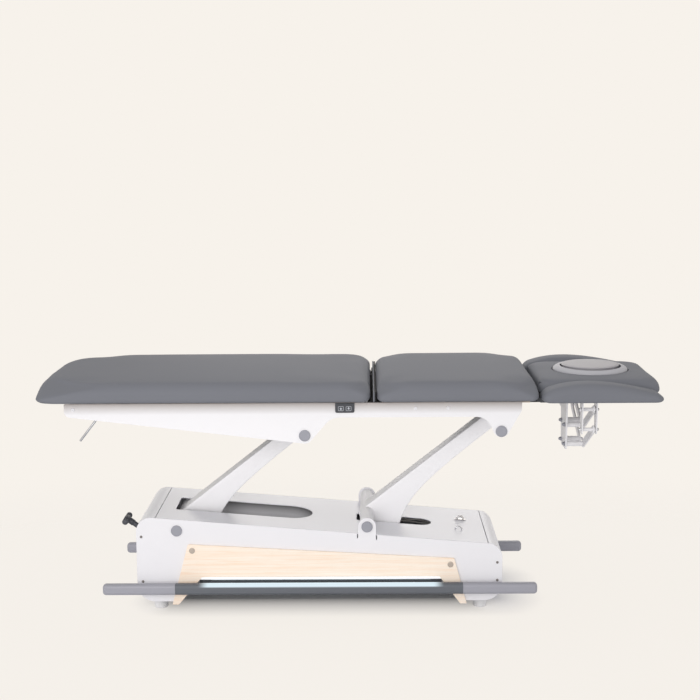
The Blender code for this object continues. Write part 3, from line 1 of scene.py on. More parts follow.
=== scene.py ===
"""Looks of the treatment table: upholstery, painted sheet metal, wooden panels, fittings, light and camera.

Frame: metres, +Z up, +X from the foot end to the head end, the origin on the floor under the middle.
"""

import json
from math import atan2, ceil, cos, exp, pi, radians, sin, sqrt, tan

import bmesh
import bpy
from mathutils import Matrix, Vector


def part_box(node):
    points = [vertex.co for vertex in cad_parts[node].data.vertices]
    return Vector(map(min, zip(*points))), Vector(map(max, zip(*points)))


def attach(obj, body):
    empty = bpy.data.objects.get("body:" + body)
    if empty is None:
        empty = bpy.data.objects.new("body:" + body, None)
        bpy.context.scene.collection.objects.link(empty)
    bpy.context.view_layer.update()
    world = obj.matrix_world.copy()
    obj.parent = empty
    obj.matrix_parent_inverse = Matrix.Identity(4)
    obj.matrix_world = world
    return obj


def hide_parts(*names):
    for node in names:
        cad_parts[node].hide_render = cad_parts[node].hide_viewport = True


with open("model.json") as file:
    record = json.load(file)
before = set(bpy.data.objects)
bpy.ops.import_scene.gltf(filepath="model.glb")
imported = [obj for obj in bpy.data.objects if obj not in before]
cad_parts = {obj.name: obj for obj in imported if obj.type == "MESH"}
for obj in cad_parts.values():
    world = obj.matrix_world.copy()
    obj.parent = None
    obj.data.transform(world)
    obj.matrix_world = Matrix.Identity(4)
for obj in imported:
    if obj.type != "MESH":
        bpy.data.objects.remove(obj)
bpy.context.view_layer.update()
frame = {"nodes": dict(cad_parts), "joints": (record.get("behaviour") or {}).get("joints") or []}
NODES = frame["nodes"]
PIVOTS = {joint["name"]: Vector(joint["pos_m"]) for joint in frame["joints"] if "pos_m" in joint}
SIDES = (("left", -1), ("right", 1))

# Lifting plane
LOWER_FOOT = PIVOTS["lift"].xz
LOWER_HEAD = PIVOTS["lift_head_arm"].xz
UPPER_FOOT = PIVOTS["frame_level"].xz
UPPER_HEAD = UPPER_FOOT + LOWER_HEAD - LOWER_FOOT
LIFT_LENGTH = (UPPER_FOOT - LOWER_FOOT).length
LIFT_ANGLE = atan2(UPPER_FOOT.y - LOWER_FOOT.y, UPPER_FOOT.x - LOWER_FOOT.x)
LEG_AXIS = PIVOTS["leg_tilt"].xz
HEAD_AXIS = PIVOTS["head_tilt"].xz
SHAFT_R = 0.012
PIVOT_BORE = SHAFT_R + 0.0004
PIN_BORE = 0.0054
CAP_R = 0.0185

# Base sheet metal
BASE_HALF = 0.205
SHEET = 0.003
CLEARANCE = 0.0003
BASE_FOOT_X, BASE_HEAD_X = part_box("base_side_left")[0].x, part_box("base_side_left")[1].x
BASE_BOTTOM = 0.043
BASE_TOP_FOOT, BASE_TOP_HEAD = 0.338, 0.237
TOP_SLOPE = (BASE_TOP_HEAD - BASE_TOP_FOOT) / (BASE_HEAD_X - BASE_FOOT_X)
TOP_CORNER, LOW_CORNER = 0.050, 0.060
INNER_HALF = BASE_HALF - SHEET - CLEARANCE
SEAM_FOOT, SEAM_HEAD = BASE_FOOT_X + 0.065, BASE_HEAD_X - 0.047
EAR_R = 0.030
NOTCH_TOP = 0.118
NOTCH = (BASE_FOOT_X + 0.140, BASE_FOOT_X + 0.220, BASE_HEAD_X - 0.213, BASE_HEAD_X - 0.143)

# Upholstery
PAD_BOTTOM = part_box("leg_pad")[0].z
HALF_WIDTH = 0.33
SOFT_EDGE = 0.0008
FACE_CENTRE = Vector(((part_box("face_ring")[0].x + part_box("face_ring")[1].x) / 2, 0))

# Look of meshes and paint
SHARP_ANGLE = radians(32)
WIDE_STEPS, RING_STEPS = 96, 112
CUT_PAST = 0.01
MOTTLE_SCALE = 7.0
PAINT_GRAIN = 420.0
PAINT_GLOSS = 0.42


def on_side(sign, inner, outer):
    """Lower and higher Y of a span given outwards from the middle, on one side of the table."""
    return sorted((sign * inner, sign * outer))


def tone(red, green, blue):
    """Linear colour for a colour as it is seen on a screen."""
    def straight(value):
        share = value / 255
        return share / 12.92 if share <= 0.04045 else ((share + 0.055) / 1.055) ** 2.4
    return (straight(red), straight(green), straight(blue), 1)


# Shader arithmetic

class Socket:
    """A node's output that takes part in Python arithmetic through Math nodes."""

    def __init__(self, tree, output):
        self.tree = tree
        self.output = output

    def combine(self, operation, first, second):
        node = self.tree.nodes.new("ShaderNodeMath")
        node.operation = operation
        for socket, value in zip(node.inputs, (first, second)):
            if isinstance(value, Socket):
                self.tree.links.new(value.output, socket)
            else:
                socket.default_value = value
        return Socket(self.tree, node.outputs[0])

    def __add__(self, other):
        return self.combine("ADD", self, other)

    def __radd__(self, other):
        return self.combine("ADD", other, self)

    def __sub__(self, other):
        return self.combine("SUBTRACT", self, other)

    def __rsub__(self, other):
        return self.combine("SUBTRACT", other, self)

    def __mul__(self, other):
        return self.combine("MULTIPLY", self, other)

    def __rmul__(self, other):
        return self.combine("MULTIPLY", other, self)

    def __pow__(self, other):
        return self.combine("POWER", self, other)


class Finish:
    """A material whose shader is put together one node at a time."""

    def __init__(self, name):
        self.material = bpy.data.materials.new(name)
        self.material.use_nodes = True
        self.tree = self.material.node_tree
        self.shader = self.tree.nodes["Principled BSDF"]
        self.place = self.node("ShaderNodeTexCoord", output="Object")

    def node(self, kind, settings=None, sockets=None, output=0):
        node = self.tree.nodes.new(kind)
        for key, value in (settings or {}).items():
            if key == "stops":
                ramp = node.color_ramp
                while len(ramp.elements) < len(value):
                    ramp.elements.new(0.5)
                for element, (position, colour) in zip(ramp.elements, value):
                    element.position = position
                    element.color = colour
            else:
                setattr(node, key, value)
        self.feed(node, sockets or {})
        return Socket(self.tree, node.outputs[output])

    def feed(self, node, sockets):
        for key, value in sockets.items():
            if isinstance(value, Socket):
                self.tree.links.new(value.output, node.inputs[key])
            else:
                node.inputs[key].default_value = value

    def set(self, **values):
        """Values or links of the main shader, by socket name with underscores for spaces."""
        self.feed(self.shader, {key.replace("_", " "): value for key, value in values.items()})
        return self

    def stretched(self, x, y, z):
        return self.node("ShaderNodeMapping", {"vector_type": "POINT"},
                         {"Vector": self.place, "Scale": (x, y, z)})

    def noise(self, scale, detail=2.0, rough=0.5, vector=None):
        return self.node("ShaderNodeTexNoise", None, {
            "Vector": vector or self.place, "Scale": scale, "Detail": detail, "Roughness": rough})

    def bands(self, direction, scale, distortion=0.0):
        return self.node("ShaderNodeTexWave", {"wave_type": "BANDS", "bands_direction": direction},
                         {"Vector": self.place, "Scale": scale, "Distortion": distortion})

    def ranged(self, value, low, high, smooth=False):
        """Share from 0 to 1 of the way from low to high."""
        return self.node("ShaderNodeMapRange", {"interpolation_type": "SMOOTHSTEP" if smooth else "LINEAR"},
                         {"Value": value, "From Min": low, "From Max": high})

    def ramp(self, factor, *stops):
        return self.node("ShaderNodeValToRGB", {"stops": stops}, {"Fac": factor})

    def blended(self, factor, first, second):
        return self.node("ShaderNodeMix", {"data_type": "RGBA"}, {0: factor, 6: first, 7: second}, output=2)

    def bump(self, height, strength, distance):
        return self.set(Normal=self.node("ShaderNodeBump", None, {
            "Height": height, "Strength": strength, "Distance": distance}))


def shaded(colour, share):
    """The colour darker or lighter by a share."""
    return tuple(channel * share for channel in colour[:3]) + (1,)


def mottled(name, colour, rough, spread=0.03, fine=300.0, strength=0.06, depth=0.0004, metallic=0.0):
    """Smooth finish with a faint broad mottle, an uneven gloss and a fine surface texture."""
    finish = Finish(name)
    broad = finish.noise(MOTTLE_SCALE, 3.0)
    skin = finish.noise(fine, 2.0)
    colour_mix = finish.blended(broad, shaded(colour, 1 - spread), shaded(colour, 1 + spread))
    finish.set(Base_Color=colour_mix, Roughness=rough + (broad - 0.5) * 0.10 + (skin - 0.5) * 0.04,
               Metallic=metallic)
    finish.bump(skin, strength, depth)
    return finish


def white_with_painted_shade(name, colour, dark, direction, near, reach):
    """White paint with painted shade: its colour darkens towards an edge kept out of the light."""
    finish = mottled(name, colour, PAINT_GLOSS, 0.010, PAINT_GRAIN, 0.05)
    depth = finish.node("ShaderNodeVectorMath", {"operation": "DOT_PRODUCT"},
                        {0: finish.place, 1: direction}, "Value")
    broad = finish.noise(MOTTLE_SCALE, 3.0)
    lit = finish.blended(broad, shaded(colour, 0.99), shaded(colour, 1.01))
    # painted shade: the dark colour at near, blending into the lit paint by near + reach
    return finish.set(Base_Color=finish.blended(finish.ranged(depth, near, near + reach), dark, lit))


def sheet_paint():
    """Glossier white paint of the sloping top sheet, a lighter copy of the walls' white as painted light for
    the cushions' shade over it.
    """
    finish = mottled("top_sheet_paint", tone(247, 247, 252), 0.34, 0.008, PAINT_GRAIN, 0.04)
    return finish.set(Coat_Weight=0.35, Coat_Roughness=0.30)


def pad_vinyl():
    """Soft grey vinyl with a fine pebbled grain."""
    finish = Finish("pad_vinyl")
    broad = finish.noise(3.5, 3.0)
    pebbles = finish.node("ShaderNodeTexVoronoi", {"feature": "SMOOTH_F1"},
                          {"Vector": finish.place, "Scale": 520.0, "Smoothness": 0.6})
    creases = finish.noise(900.0, 3.0, 0.6)
    colour = tone(121, 123, 129)
    grain = pebbles * 0.7 + creases * 0.3
    finish.set(Base_Color=finish.blended(broad, shaded(colour, 0.96), shaded(colour, 1.04)),
               Roughness=0.60 + (broad - 0.5) * 0.10 + (grain - 0.4) * 0.10, Specular_IOR_Level=0.12)
    return finish.bump(grain, 0.10, 0.0005)


def veneer_wood():
    """Pale lacquered veneer with its grain along the panel."""
    finish = Finish("veneer_wood")
    drift = finish.noise(2.2, 3.0)
    figure = finish.noise(1.0, 5.0, 0.66, finish.stretched(4.2, 6.0, 130.0))
    fibres = finish.noise(1.0, 4.0, 0.6, finish.stretched(14.0, 60.0, 620.0))
    pores = finish.noise(1.0, 2.0, 0.5, finish.stretched(40.0, 60.0, 1500.0))
    mix = figure * 0.50 + fibres * 0.35 + drift * 0.15
    colour = finish.ramp(mix, (0.36, tone(250, 223, 195)), (0.48, tone(254, 236, 216)),
                         (0.62, tone(255, 244, 229)))
    specks = finish.ramp(pores, (0.30, (1, 1, 1, 1)), (0.36, (0, 0, 0, 1)))
    finish.set(Base_Color=finish.blended(specks * 0.22, colour, tone(222, 188, 152)),
               Roughness=0.40 + (fibres - 0.5) * 0.16, Coat_Weight=0.15, Coat_Roughness=0.25)
    return finish.bump(fibres, 0.08, 0.0004)


def plywood():
    """Raw birch plywood: thin layers on the edges and a long grain on the faces."""
    finish = Finish("raw_plywood")
    layers = finish.bands("Z", 105.0, 0.6)
    grain = finish.noise(1.0, 4.0, 0.6, finish.stretched(9.0, 160.0, 160.0))
    colour = finish.ramp(layers * 0.35 + grain * 0.65, (0.2, tone(190, 170, 146)),
                         (0.8, tone(226, 210, 188)))
    finish.set(Base_Color=colour, Roughness=0.62 + (grain - 0.5) * 0.2)
    return finish.bump(grain, 0.15, 0.0005)


def zinc_steel():
    """Zinc-plated steel with drawn marks and a cloudy gloss."""
    finish = Finish("zinc_steel")
    marks = finish.noise(1.0, 3.0, 0.6, finish.stretched(40.0, 300.0, 300.0))
    cloud = finish.noise(30.0, 3.0)
    colour = finish.blended(cloud, tone(172, 174, 178), tone(212, 213, 216))
    finish.set(Base_Color=colour, Metallic=0.9,
               Roughness=0.30 + (marks - 0.5) * 0.16 + (cloud - 0.5) * 0.12)
    return finish.bump(marks, 0.06, 0.0002)


def diffuser():
    """Milky light strip, brighter over each of its lamps."""
    finish = Finish("light_diffuser")
    colour = finish.blended(finish.bands("X", 19.6), tone(204, 232, 240), tone(240, 253, 255))
    return finish.set(Base_Color=tone(226, 238, 242), Roughness=0.35, Emission_Color=colour,
                      Emission_Strength=0.85)


def lit_bar_rubber():
    """Dark bar rubber with a painted glow: emission along the middle of its top stands in for the light
    strip's light falling on it.
    """
    finish = Finish("lit_bar_rubber")
    broad = finish.noise(MOTTLE_SCALE, 3.0)
    skin = finish.noise(700.0, 2.0)
    colour = tone(98, 102, 108)
    finish.set(Base_Color=finish.blended(broad, shaded(colour, 0.97), shaded(colour, 1.03)),
               Roughness=0.55 + (broad - 0.5) * 0.10 + (skin - 0.5) * 0.04)
    along = finish.node("ShaderNodeSeparateXYZ", None, {"Vector": finish.place}, "X")
    above = finish.node("ShaderNodeSeparateXYZ", None, {"Vector": finish.place}, "Z")
    # mask of the painted glow: the top few millimetres of the bar, fading out towards both ends
    share = finish.ranged(above, 0.1045, 0.1105, smooth=True)
    for dark, lit in ((-0.512, -0.472), (0.312, 0.272)):
        share = share * finish.ranged(along, dark, lit, smooth=True)
    finish.set(Emission_Color=finish.blended(share, (0, 0, 0, 1), tone(214, 232, 240)), Emission_Strength=0.9)
    return finish.bump(skin, 0.12, 0.0004)


def trim_with_painted_glow():
    """White edge of the notch with a painted glow: emission stands in for the light strip's light on it."""
    finish = mottled("notch_trim_paint", tone(250, 249, 250), PAINT_GLOSS, 0.008, PAINT_GRAIN, 0.04)
    return finish.set(Emission_Color=tone(236, 240, 243), Emission_Strength=0.34)


def lining_cloth():
    """Dark woven lining under the boards; the same dark cloth in the gaps between the cushions is painted
    shade.
    """
    finish = Finish("lining_cloth")
    threads = 260.0
    weave = finish.bands("X", threads) * finish.bands("Y", threads)
    finish.set(Base_Color=finish.blended(weave, tone(22, 22, 24), tone(40, 40, 43)), Roughness=0.85)
    return finish.bump(weave, 0.3, 0.0004)


FINISHES = {
    "vinyl": pad_vinyl(),
    "white": mottled("white_powder_coat", tone(237, 236, 238), PAINT_GLOSS, 0.010, PAINT_GRAIN, 0.05),
    # lift arms: a lighter copy of the white paint, painted light for the cushions' shade over them
    "arm": mottled("lift_arm_paint", tone(251, 250, 251), PAINT_GLOSS, 0.008, PAINT_GRAIN, 0.05),
    "top": sheet_paint(),
    # frame plates: painted shade, darkest just under the cushions and gone 40 mm lower
    "frame": white_with_painted_shade("frame_paint", tone(243, 242, 243), tone(174, 165, 159), (0, 0, -1),
                       0.002 - PAD_BOTTOM, 0.040),
    # slot lip: painted shade, nearly black just under the top sheet, fading over 34 mm down
    "lip": white_with_painted_shade("slot_lip_paint", tone(226, 225, 227), tone(66, 64, 64), (TOP_SLOPE, 0, -1),
                     TOP_SLOPE * BASE_FOOT_X - BASE_TOP_FOOT, 0.034),
    # dark paint as painted shade on the tray, the lamp rails and the head hinge parts, deep in shade
    "inner": mottled("shaded_inner_paint", tone(78, 80, 84), 0.60, 0.030, 400.0, 0.08),
    "ring": mottled("face_ring_foam", tone(184, 184, 188), 0.50, 0.020, 600.0, 0.08),
    "lid": mottled("face_lid_cover", tone(167, 165, 168), 0.46, 0.020, 700.0, 0.10),
    "cap": mottled("grey_cap_plastic", tone(154, 155, 163), 0.45, 0.020, 500.0, 0.05),
    "foot": mottled("pale_foot_plastic", tone(240, 239, 238), 0.5, 0.020, 400.0, 0.06),
    "dark": mottled("dark_moulded_plastic", tone(66, 67, 72), 0.48, 0.060, 500.0, 0.10),
    "tag": mottled("control_tag_plastic", tone(52, 55, 62), 0.40, 0.050, 600.0, 0.06),
    "sign": mottled("pale_pictogram_ink", tone(196, 200, 206), 0.5, 0.020, 500.0, 0.03),
    "bar_light": mottled("light_bar_paint", tone(160, 160, 168), PAINT_GLOSS, 0.020, PAINT_GRAIN, 0.06),
    "bar_dark": lit_bar_rubber(),
    "handle": mottled("lever_handle_rubber", tone(74, 75, 80), 0.55, 0.050, 600.0, 0.12),
    "tyre": mottled("wheel_tyre_rubber", tone(92, 93, 96), 0.7, 0.050, 400.0, 0.15),
    "link": mottled("linkage_paint", tone(236, 235, 236), 0.40, 0.020, PAINT_GRAIN, 0.06),
    "cable": mottled("cable_sheath", tone(150, 147, 143), 0.5, 0.030, 400.0, 0.05),
    "chrome": mottled("bright_clasp_metal", tone(214, 212, 212), 0.16, 0.030, 300.0, 0.03, metallic=1.0),
    "trim": trim_with_painted_glow(),
    "screw": mottled("cover_screw_metal", tone(128, 122, 118), 0.45, 0.030, 500.0, 0.04),
    "stud": mottled("panel_stud_metal", tone(186, 174, 162), 0.40, 0.020, 500.0, 0.04, metallic=0.3),
    "motor": mottled("actuator_plastic", tone(150, 152, 158), 0.5, 0.030, 400.0, 0.08),
    "wood": veneer_wood(),
    "ply": plywood(),
    "steel": zinc_steel(),
    "light": diffuser(),
    "lining": lining_cloth(),
}
SLOT_FINISHES = {
    "grey_vinyl": ("vinyl", "lining"),
    "white_paint": ("white", "arm", "top", "frame", "lip", "inner", "link", "trim"),
    "zinc_steel": ("screw", "chrome", "stud", "steel"),
    "dark_plastic": ("cable", "dark", "tag", "sign", "handle"),
    "pale_cover": ("ring", "lid"),
    "grey_plastic": ("cap", "foot", "motor"),
    "grey_bar": ("bar_light", "bar_dark"),
    "tyre_rubber": ("tyre",),
    "pale_wood": ("wood",),
    "plywood": ("ply",),
    "light_diffuser": ("light",),
}
SLOTS = {finish: slot for slot, finishes in SLOT_FINISHES.items() for finish in finishes}


# Outlines

def rounded(corners, step=radians(5)):
    """Closed outline through (a, b, radius) corners, each rounded by an arc of its radius."""
    outline = []
    for index, (a, b, radius) in enumerate(corners):
        here = Vector((a, b))
        if radius <= 0:
            outline.append(here)
            continue
        back = (Vector(corners[index - 1][:2]) - here).normalized()
        ahead = (Vector(corners[(index + 1) % len(corners)][:2]) - here).normalized()
        half = back.angle(ahead) / 2
        centre = here + (back + ahead).normalized() * (radius / sin(half))
        first = here + back * (radius / tan(half)) - centre
        last = here + ahead * (radius / tan(half)) - centre
        turn = atan2(first.x * last.y - first.y * last.x, first.dot(last))
        count = max(2, ceil(abs(turn) / step - 1e-4))
        for k in range(count + 1):
            outline.append(centre + Matrix.Rotation(turn * k / count, 2) @ first)
    return outline


def lobe(centre, radius, heading_in, heading_out):
    """Corner whose rounding by the radius is the circle, for an outline that runs anticlockwise."""
    normals = [Vector((sin(a), -cos(a))) for a in (heading_in, heading_out)]
    corner = centre + radius * (normals[0] + normals[1]) / (1 + normals[0].dot(normals[1]))
    return (corner.x, corner.y, radius)


def circle(centre, radius, steps=48):
    turns = [2 * pi * k / steps for k in range(steps)]
    return [centre + radius * Vector((cos(turn), sin(turn))) for turn in turns]


def stadium(a, b, radius, half_steps=24):
    """Outline of a link with a round end about each of two points."""
    heading = atan2(b.y - a.y, b.x - a.x)
    ends = ((b, heading - pi / 2), (a, heading + pi / 2))
    return [centre + radius * Vector((cos(start + pi * k / half_steps), sin(start + pi * k / half_steps)))
            for centre, start in ends for k in range(half_steps + 1)]


def box_outline(a0, a1, b0, b1, radius=0.0):
    """Rectangle with rounded corners."""
    return rounded([(a0, b0, radius), (a1, b0, radius), (a1, b1, radius), (a0, b1, radius)])


def top_of_base(x):
    """Height of the sloping top sheet."""
    return BASE_TOP_FOOT + TOP_SLOPE * (x - BASE_FOOT_X)


# Mesh making

PLACES = {
    "x": lambda a, b, h: (h, a, b),
    "y": lambda a, b, h: (a, h, b),
    "z": lambda a, b, h: (a, b, h),
}


def as_object(name, mesh_data):
    """Object from a bmesh, with its normals turned outwards."""
    bmesh.ops.remove_doubles(mesh_data, verts=mesh_data.verts, dist=1e-6)
    bmesh.ops.recalc_face_normals(mesh_data, faces=mesh_data.faces)
    mesh = bpy.data.meshes.new(name)
    mesh_data.to_mesh(mesh)
    mesh_data.free()
    mesh.shade_smooth()
    mesh.set_sharp_from_angle(angle=SHARP_ANGLE)
    item = bpy.data.objects.new(name, mesh)
    bpy.context.scene.collection.objects.link(item)
    return item


def lofted(name, rings, capped=True, looped=False):
    """Skin over a row of rings, closed at its ends or joined into a loop."""
    mesh_data = bmesh.new()
    loops = [[mesh_data.verts.new(point) for point in ring] for ring in rings]
    pairs = list(zip(loops, loops[1:]))
    if looped:
        pairs.append((loops[-1], loops[0]))
    for lower, upper in pairs:
        for k in range(len(lower)):
            n = (k + 1) % len(lower)
            mesh_data.faces.new((lower[k], lower[n], upper[n], upper[k]))
    if capped and not looped:
        mesh_data.faces.new(loops[0][::-1])
        mesh_data.faces.new(loops[-1])
    return as_object(name, mesh_data)


def extruded(name, outline, axis, low, high):
    """Flat outline drawn out along an axis."""
    place = PLACES[axis]
    return lofted(name, [[place(p.x, p.y, h) for p in outline] for h in (low, high)])


def lathe(name, profile, axis, centre, steps=56, ring=False):
    """Round piece from (height, radius) pairs about an axis through a flat centre."""
    place = PLACES[axis]
    turns = [2 * pi * k / steps for k in range(steps)]
    rings = [[place(centre[0] + radius * cos(turn), centre[1] + radius * sin(turn), height) for turn in turns]
             for height, radius in profile]
    return lofted(name, rings, capped=not ring, looped=ring)


def tube(name, axis, centre, low, high, outer, inner, edge=0.001):
    """Pipe with eased outer ends."""
    profile = [(low, inner), (low, outer - edge), (low + edge, outer),
               (high - edge, outer), (high, outer - edge), (high, inner)]
    return lathe(name, profile, axis, centre, ring=True)


DOME_STEPS = 6


def rod(name, start, end, radius, steps=32, dome=0.0):
    """Round bar between two points, its ends domed by a share of the radius."""
    start, end = Vector(start), Vector(end)
    along = (end - start).normalized()
    side = along.orthogonal().normalized()
    other = along.cross(side)
    stations = [(0.0, 1.0)]
    if dome:
        bends = [pi / 2 * k / DOME_STEPS for k in range(DOME_STEPS + 1)]
        stations = [(radius * dome * (1 - cos(a)), max(sin(a), 0.05)) for a in bends]
    places = [(start + along * d, s) for d, s in stations]
    places += [(end - along * d, s) for d, s in stations[::-1]]
    turns = [2 * pi * k / steps for k in range(steps)]
    rings = [[centre + radius * share * (side * cos(turn) + other * sin(turn)) for turn in turns]
             for centre, share in places]
    return lofted(name, rings)


def wire(name, points, radius, steps=12):
    """Bent round wire through points."""
    curve = bpy.data.curves.new(name, "CURVE")
    curve.dimensions = "3D"
    curve.bevel_depth = radius
    curve.bevel_resolution = steps // 4
    curve.use_fill_caps = True
    spline = curve.splines.new("POLY")
    spline.points.add(len(points) - 1)
    for point, place in zip(spline.points, points):
        point.co = (*place, 1)
    item = bpy.data.objects.new(name, curve)
    bpy.context.scene.collection.objects.link(item)
    return settled(item)


def settled(item):
    """The object with its modifiers worked into a plain mesh."""
    depsgraph = bpy.context.evaluated_depsgraph_get()
    mesh = bpy.data.meshes.new_from_object(item.evaluated_get(depsgraph), depsgraph=depsgraph)
    mesh.name = item.name
    if item.type == "MESH":
        item.modifiers.clear()
        item.data = mesh
        return item
    name = item.name
    bpy.data.objects.remove(item)
    fresh = bpy.data.objects.new(name, mesh)
    bpy.context.scene.collection.objects.link(fresh)
    mesh.shade_smooth()
    return fresh


def cut(item, *cutters):
    """Cut shapes out of a piece."""
    for cutter in cutters:
        modifier = item.modifiers.new("cut", "BOOLEAN")
        modifier.operation = "DIFFERENCE"
        modifier.solver = "EXACT"
        modifier.object = cutter
    settled(item)
    for cutter in cutters:
        bpy.data.objects.remove(cutter)
    item.data.shade_smooth()
    item.data.set_sharp_from_angle(angle=SHARP_ANGLE)
    return item


def eased(item, width, segments=2, angle=radians(40)):
    """Sharp edges rounded over by a width."""
    modifier = item.modifiers.new("eased", "BEVEL")
    modifier.width = width
    modifier.segments = segments
    modifier.limit_method = "ANGLE"
    modifier.angle_limit = angle
    modifier.use_clamp_overlap = True
    modifier.harden_normals = True
    return settled(item)


def plate(name, outline, axis, low, high, holes=(), edge=SOFT_EDGE):
    """Flat plate with round holes and eased edges."""
    item = extruded(name, outline, axis, low, high)
    if holes:
        cut(item, *[extruded("hole", circle(Vector(centre), radius), axis, low - CUT_PAST, high + CUT_PAST)
                    for centre, radius in holes])
    return eased(item, edge) if edge else item


def gathered(name, *items):
    """Several shapes as one object."""
    mesh_data = bmesh.new()
    for item in items:
        mesh_data.from_mesh(item.data)
    mesh = bpy.data.meshes.new(name)
    mesh_data.to_mesh(mesh)
    mesh_data.free()
    for item in items:
        bpy.data.objects.remove(item)
    whole = bpy.data.objects.new(name, mesh)
    bpy.context.scene.collection.objects.link(whole)
    return whole


def dressed(item, finish, body, *nodes):
    """Give a piece its finish and body, and the nodes that it stands for."""
    item.data.materials.clear()
    item.data.materials.append(FINISHES[finish].material)
    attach(item, body)
    if nodes:
        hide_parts(*nodes)
    return item


# Repeated fittings by Geometry Nodes

class Recipe:
    """A Geometry Nodes tree with named inputs."""

    def __init__(self, name, inputs):
        self.tree = bpy.data.node_groups.new(name, "GeometryNodeTree")
        self.tree.interface.new_socket("Geometry", in_out="INPUT", socket_type="NodeSocketGeometry")
        for label, kind in inputs:
            self.tree.interface.new_socket(label, in_out="INPUT", socket_type=kind)
        self.tree.interface.new_socket("Geometry", in_out="OUTPUT", socket_type="NodeSocketGeometry")
        self.start = self.tree.nodes.new("NodeGroupInput")
        self.end = self.tree.nodes.new("NodeGroupOutput")

    def node(self, kind, sockets=None, settings=None):
        node = self.tree.nodes.new(kind)
        for key, value in (settings or {}).items():
            setattr(node, key, value)
        for key, value in (sockets or {}).items():
            if isinstance(value, bpy.types.NodeSocket):
                self.tree.links.new(value, node.inputs[key])
            else:
                node.inputs[key].default_value = value
        return node.outputs

    def given(self, label):
        return self.start.outputs[label]

    def close(self, geometry):
        real = self.node("GeometryNodeRealizeInstances", {"Geometry": geometry})["Geometry"]
        done = self.node("GeometryNodeSetMaterial", {"Geometry": real, "Material": self.given("Finish")})
        self.tree.links.new(done["Geometry"], self.end.inputs[0])
        return self

    def make(self, name, source, values):
        """Run the tree on an object and keep the result as a plain mesh."""
        modifier = source.modifiers.new(name, "NODES")
        modifier.node_group = self.tree
        for item in self.tree.interface.items_tree:
            if item.in_out == "INPUT" and item.name in values:
                modifier[item.identifier] = values[item.name]
        settled(source)
        source.name = name
        source.data.shade_smooth()
        source.data.set_sharp_from_angle(angle=SHARP_ANGLE)
        return source


def fitting_recipe():
    """One fitting on each point."""
    recipe = Recipe("fittings_on_points", (("Fitting", "NodeSocketObject"), ("Turn", "NodeSocketRotation"),
                                           ("Size", "NodeSocketFloat"), ("Finish", "NodeSocketMaterial")))
    fitting = recipe.node("GeometryNodeObjectInfo", {"Object": recipe.given("Fitting")})["Geometry"]
    placed = recipe.node("GeometryNodeInstanceOnPoints", {
        "Points": recipe.given("Geometry"), "Instance": fitting, "Rotation": recipe.given("Turn"),
        "Scale": recipe.given("Size")})["Instances"]
    return recipe.close(placed)


def row_recipe():
    """Fittings in a straight row."""
    recipe = Recipe("fittings_in_a_row", (("Fitting", "NodeSocketObject"), ("Start", "NodeSocketVector"),
                                          ("Step", "NodeSocketVector"), ("Count", "NodeSocketInt"),
                                          ("Finish", "NodeSocketMaterial")))
    line = recipe.node("GeometryNodeMeshLine", {
        "Count": recipe.given("Count"), "Start Location": recipe.given("Start"),
        "Offset": recipe.given("Step")})["Mesh"]
    fitting = recipe.node("GeometryNodeObjectInfo", {"Object": recipe.given("Fitting")})["Geometry"]
    placed = recipe.node("GeometryNodeInstanceOnPoints", {"Points": line, "Instance": fitting})["Instances"]
    return recipe.close(placed)


def edge_recipe():
    """Fittings along a path, each turned with it."""
    recipe = Recipe("fittings_along_a_path", (("Fitting", "NodeSocketObject"), ("Spacing", "NodeSocketFloat"),
                                              ("Finish", "NodeSocketMaterial")))
    path = recipe.node("GeometryNodeMeshToCurve", {"Mesh": recipe.given("Geometry")})["Curve"]
    points = recipe.node("GeometryNodeCurveToPoints", {"Curve": path, "Length": recipe.given("Spacing")},
                         {"mode": "LENGTH"})
    fitting = recipe.node("GeometryNodeObjectInfo", {"Object": recipe.given("Fitting")})["Geometry"]
    placed = recipe.node("GeometryNodeInstanceOnPoints", {
        "Points": points["Points"], "Instance": fitting, "Rotation": points["Rotation"]})["Instances"]
    return recipe.close(placed)


FITTINGS = fitting_recipe()
ROW = row_recipe()
EDGE = edge_recipe()
FACING = {"-y": (pi / 2, 0, 0), "y": (-pi / 2, 0, 0), "x": (0, pi / 2, 0), "-x": (0, -pi / 2, 0)}


def points_object(name, places, joined=False):
    """Bare points, or a closed path through them."""
    mesh = bpy.data.meshes.new(name)
    count = len(places)
    edges = [(k, (k + 1) % count) for k in range(count)] if joined else []
    mesh.from_pydata([tuple(place) for place in places], edges, [])
    item = bpy.data.objects.new(name, mesh)
    bpy.context.scene.collection.objects.link(item)
    return item


def screw_head():
    """Pan head with a six-sided socket, its seat at the origin."""
    head = lathe("screw_head", [(-0.0006, 0.0030), (-0.0006, 0.0046), (0.0006, 0.0046), (0.0016, 0.0040),
                                (0.0022, 0.0028), (0.0024, 0.0021), (0.0024, 0.0010)], "z", (0, 0), 18)
    return cut(head, extruded("socket", circle(Vector((0, 0)), 0.0018, 6), "z", 0.0009, 0.01))


def dome_nut():
    """Six-sided nut with a dome, on a washer."""
    washer = lathe("washer", [(-0.0005, 0.0082), (0.0007, 0.0082), (0.0012, 0.0076)], "z", (0, 0), 20)
    nut = extruded("nut", circle(Vector((0, 0)), 0.0068, 6), "z", 0.0008, 0.0056)
    eased(nut, 0.0006, 1)
    dome = lathe("dome", [(0.0050, 0.0054), (0.0072, 0.0050), (0.0090, 0.0040), (0.0101, 0.0024),
                          (0.0105, 0.0008)], "z", (0, 0), 18)
    return gathered("dome_nut", washer, nut, dome)


def fitted(name, fitting, places, facing, finish, body, size=1.0):
    """Fittings of one kind on places that face one way."""
    made = FITTINGS.make(name, points_object(name, places), {
        "Fitting": fitting, "Turn": FACING[facing], "Size": size, "Finish": FINISHES[finish].material})
    return dressed(made, finish, body)


# Cushions

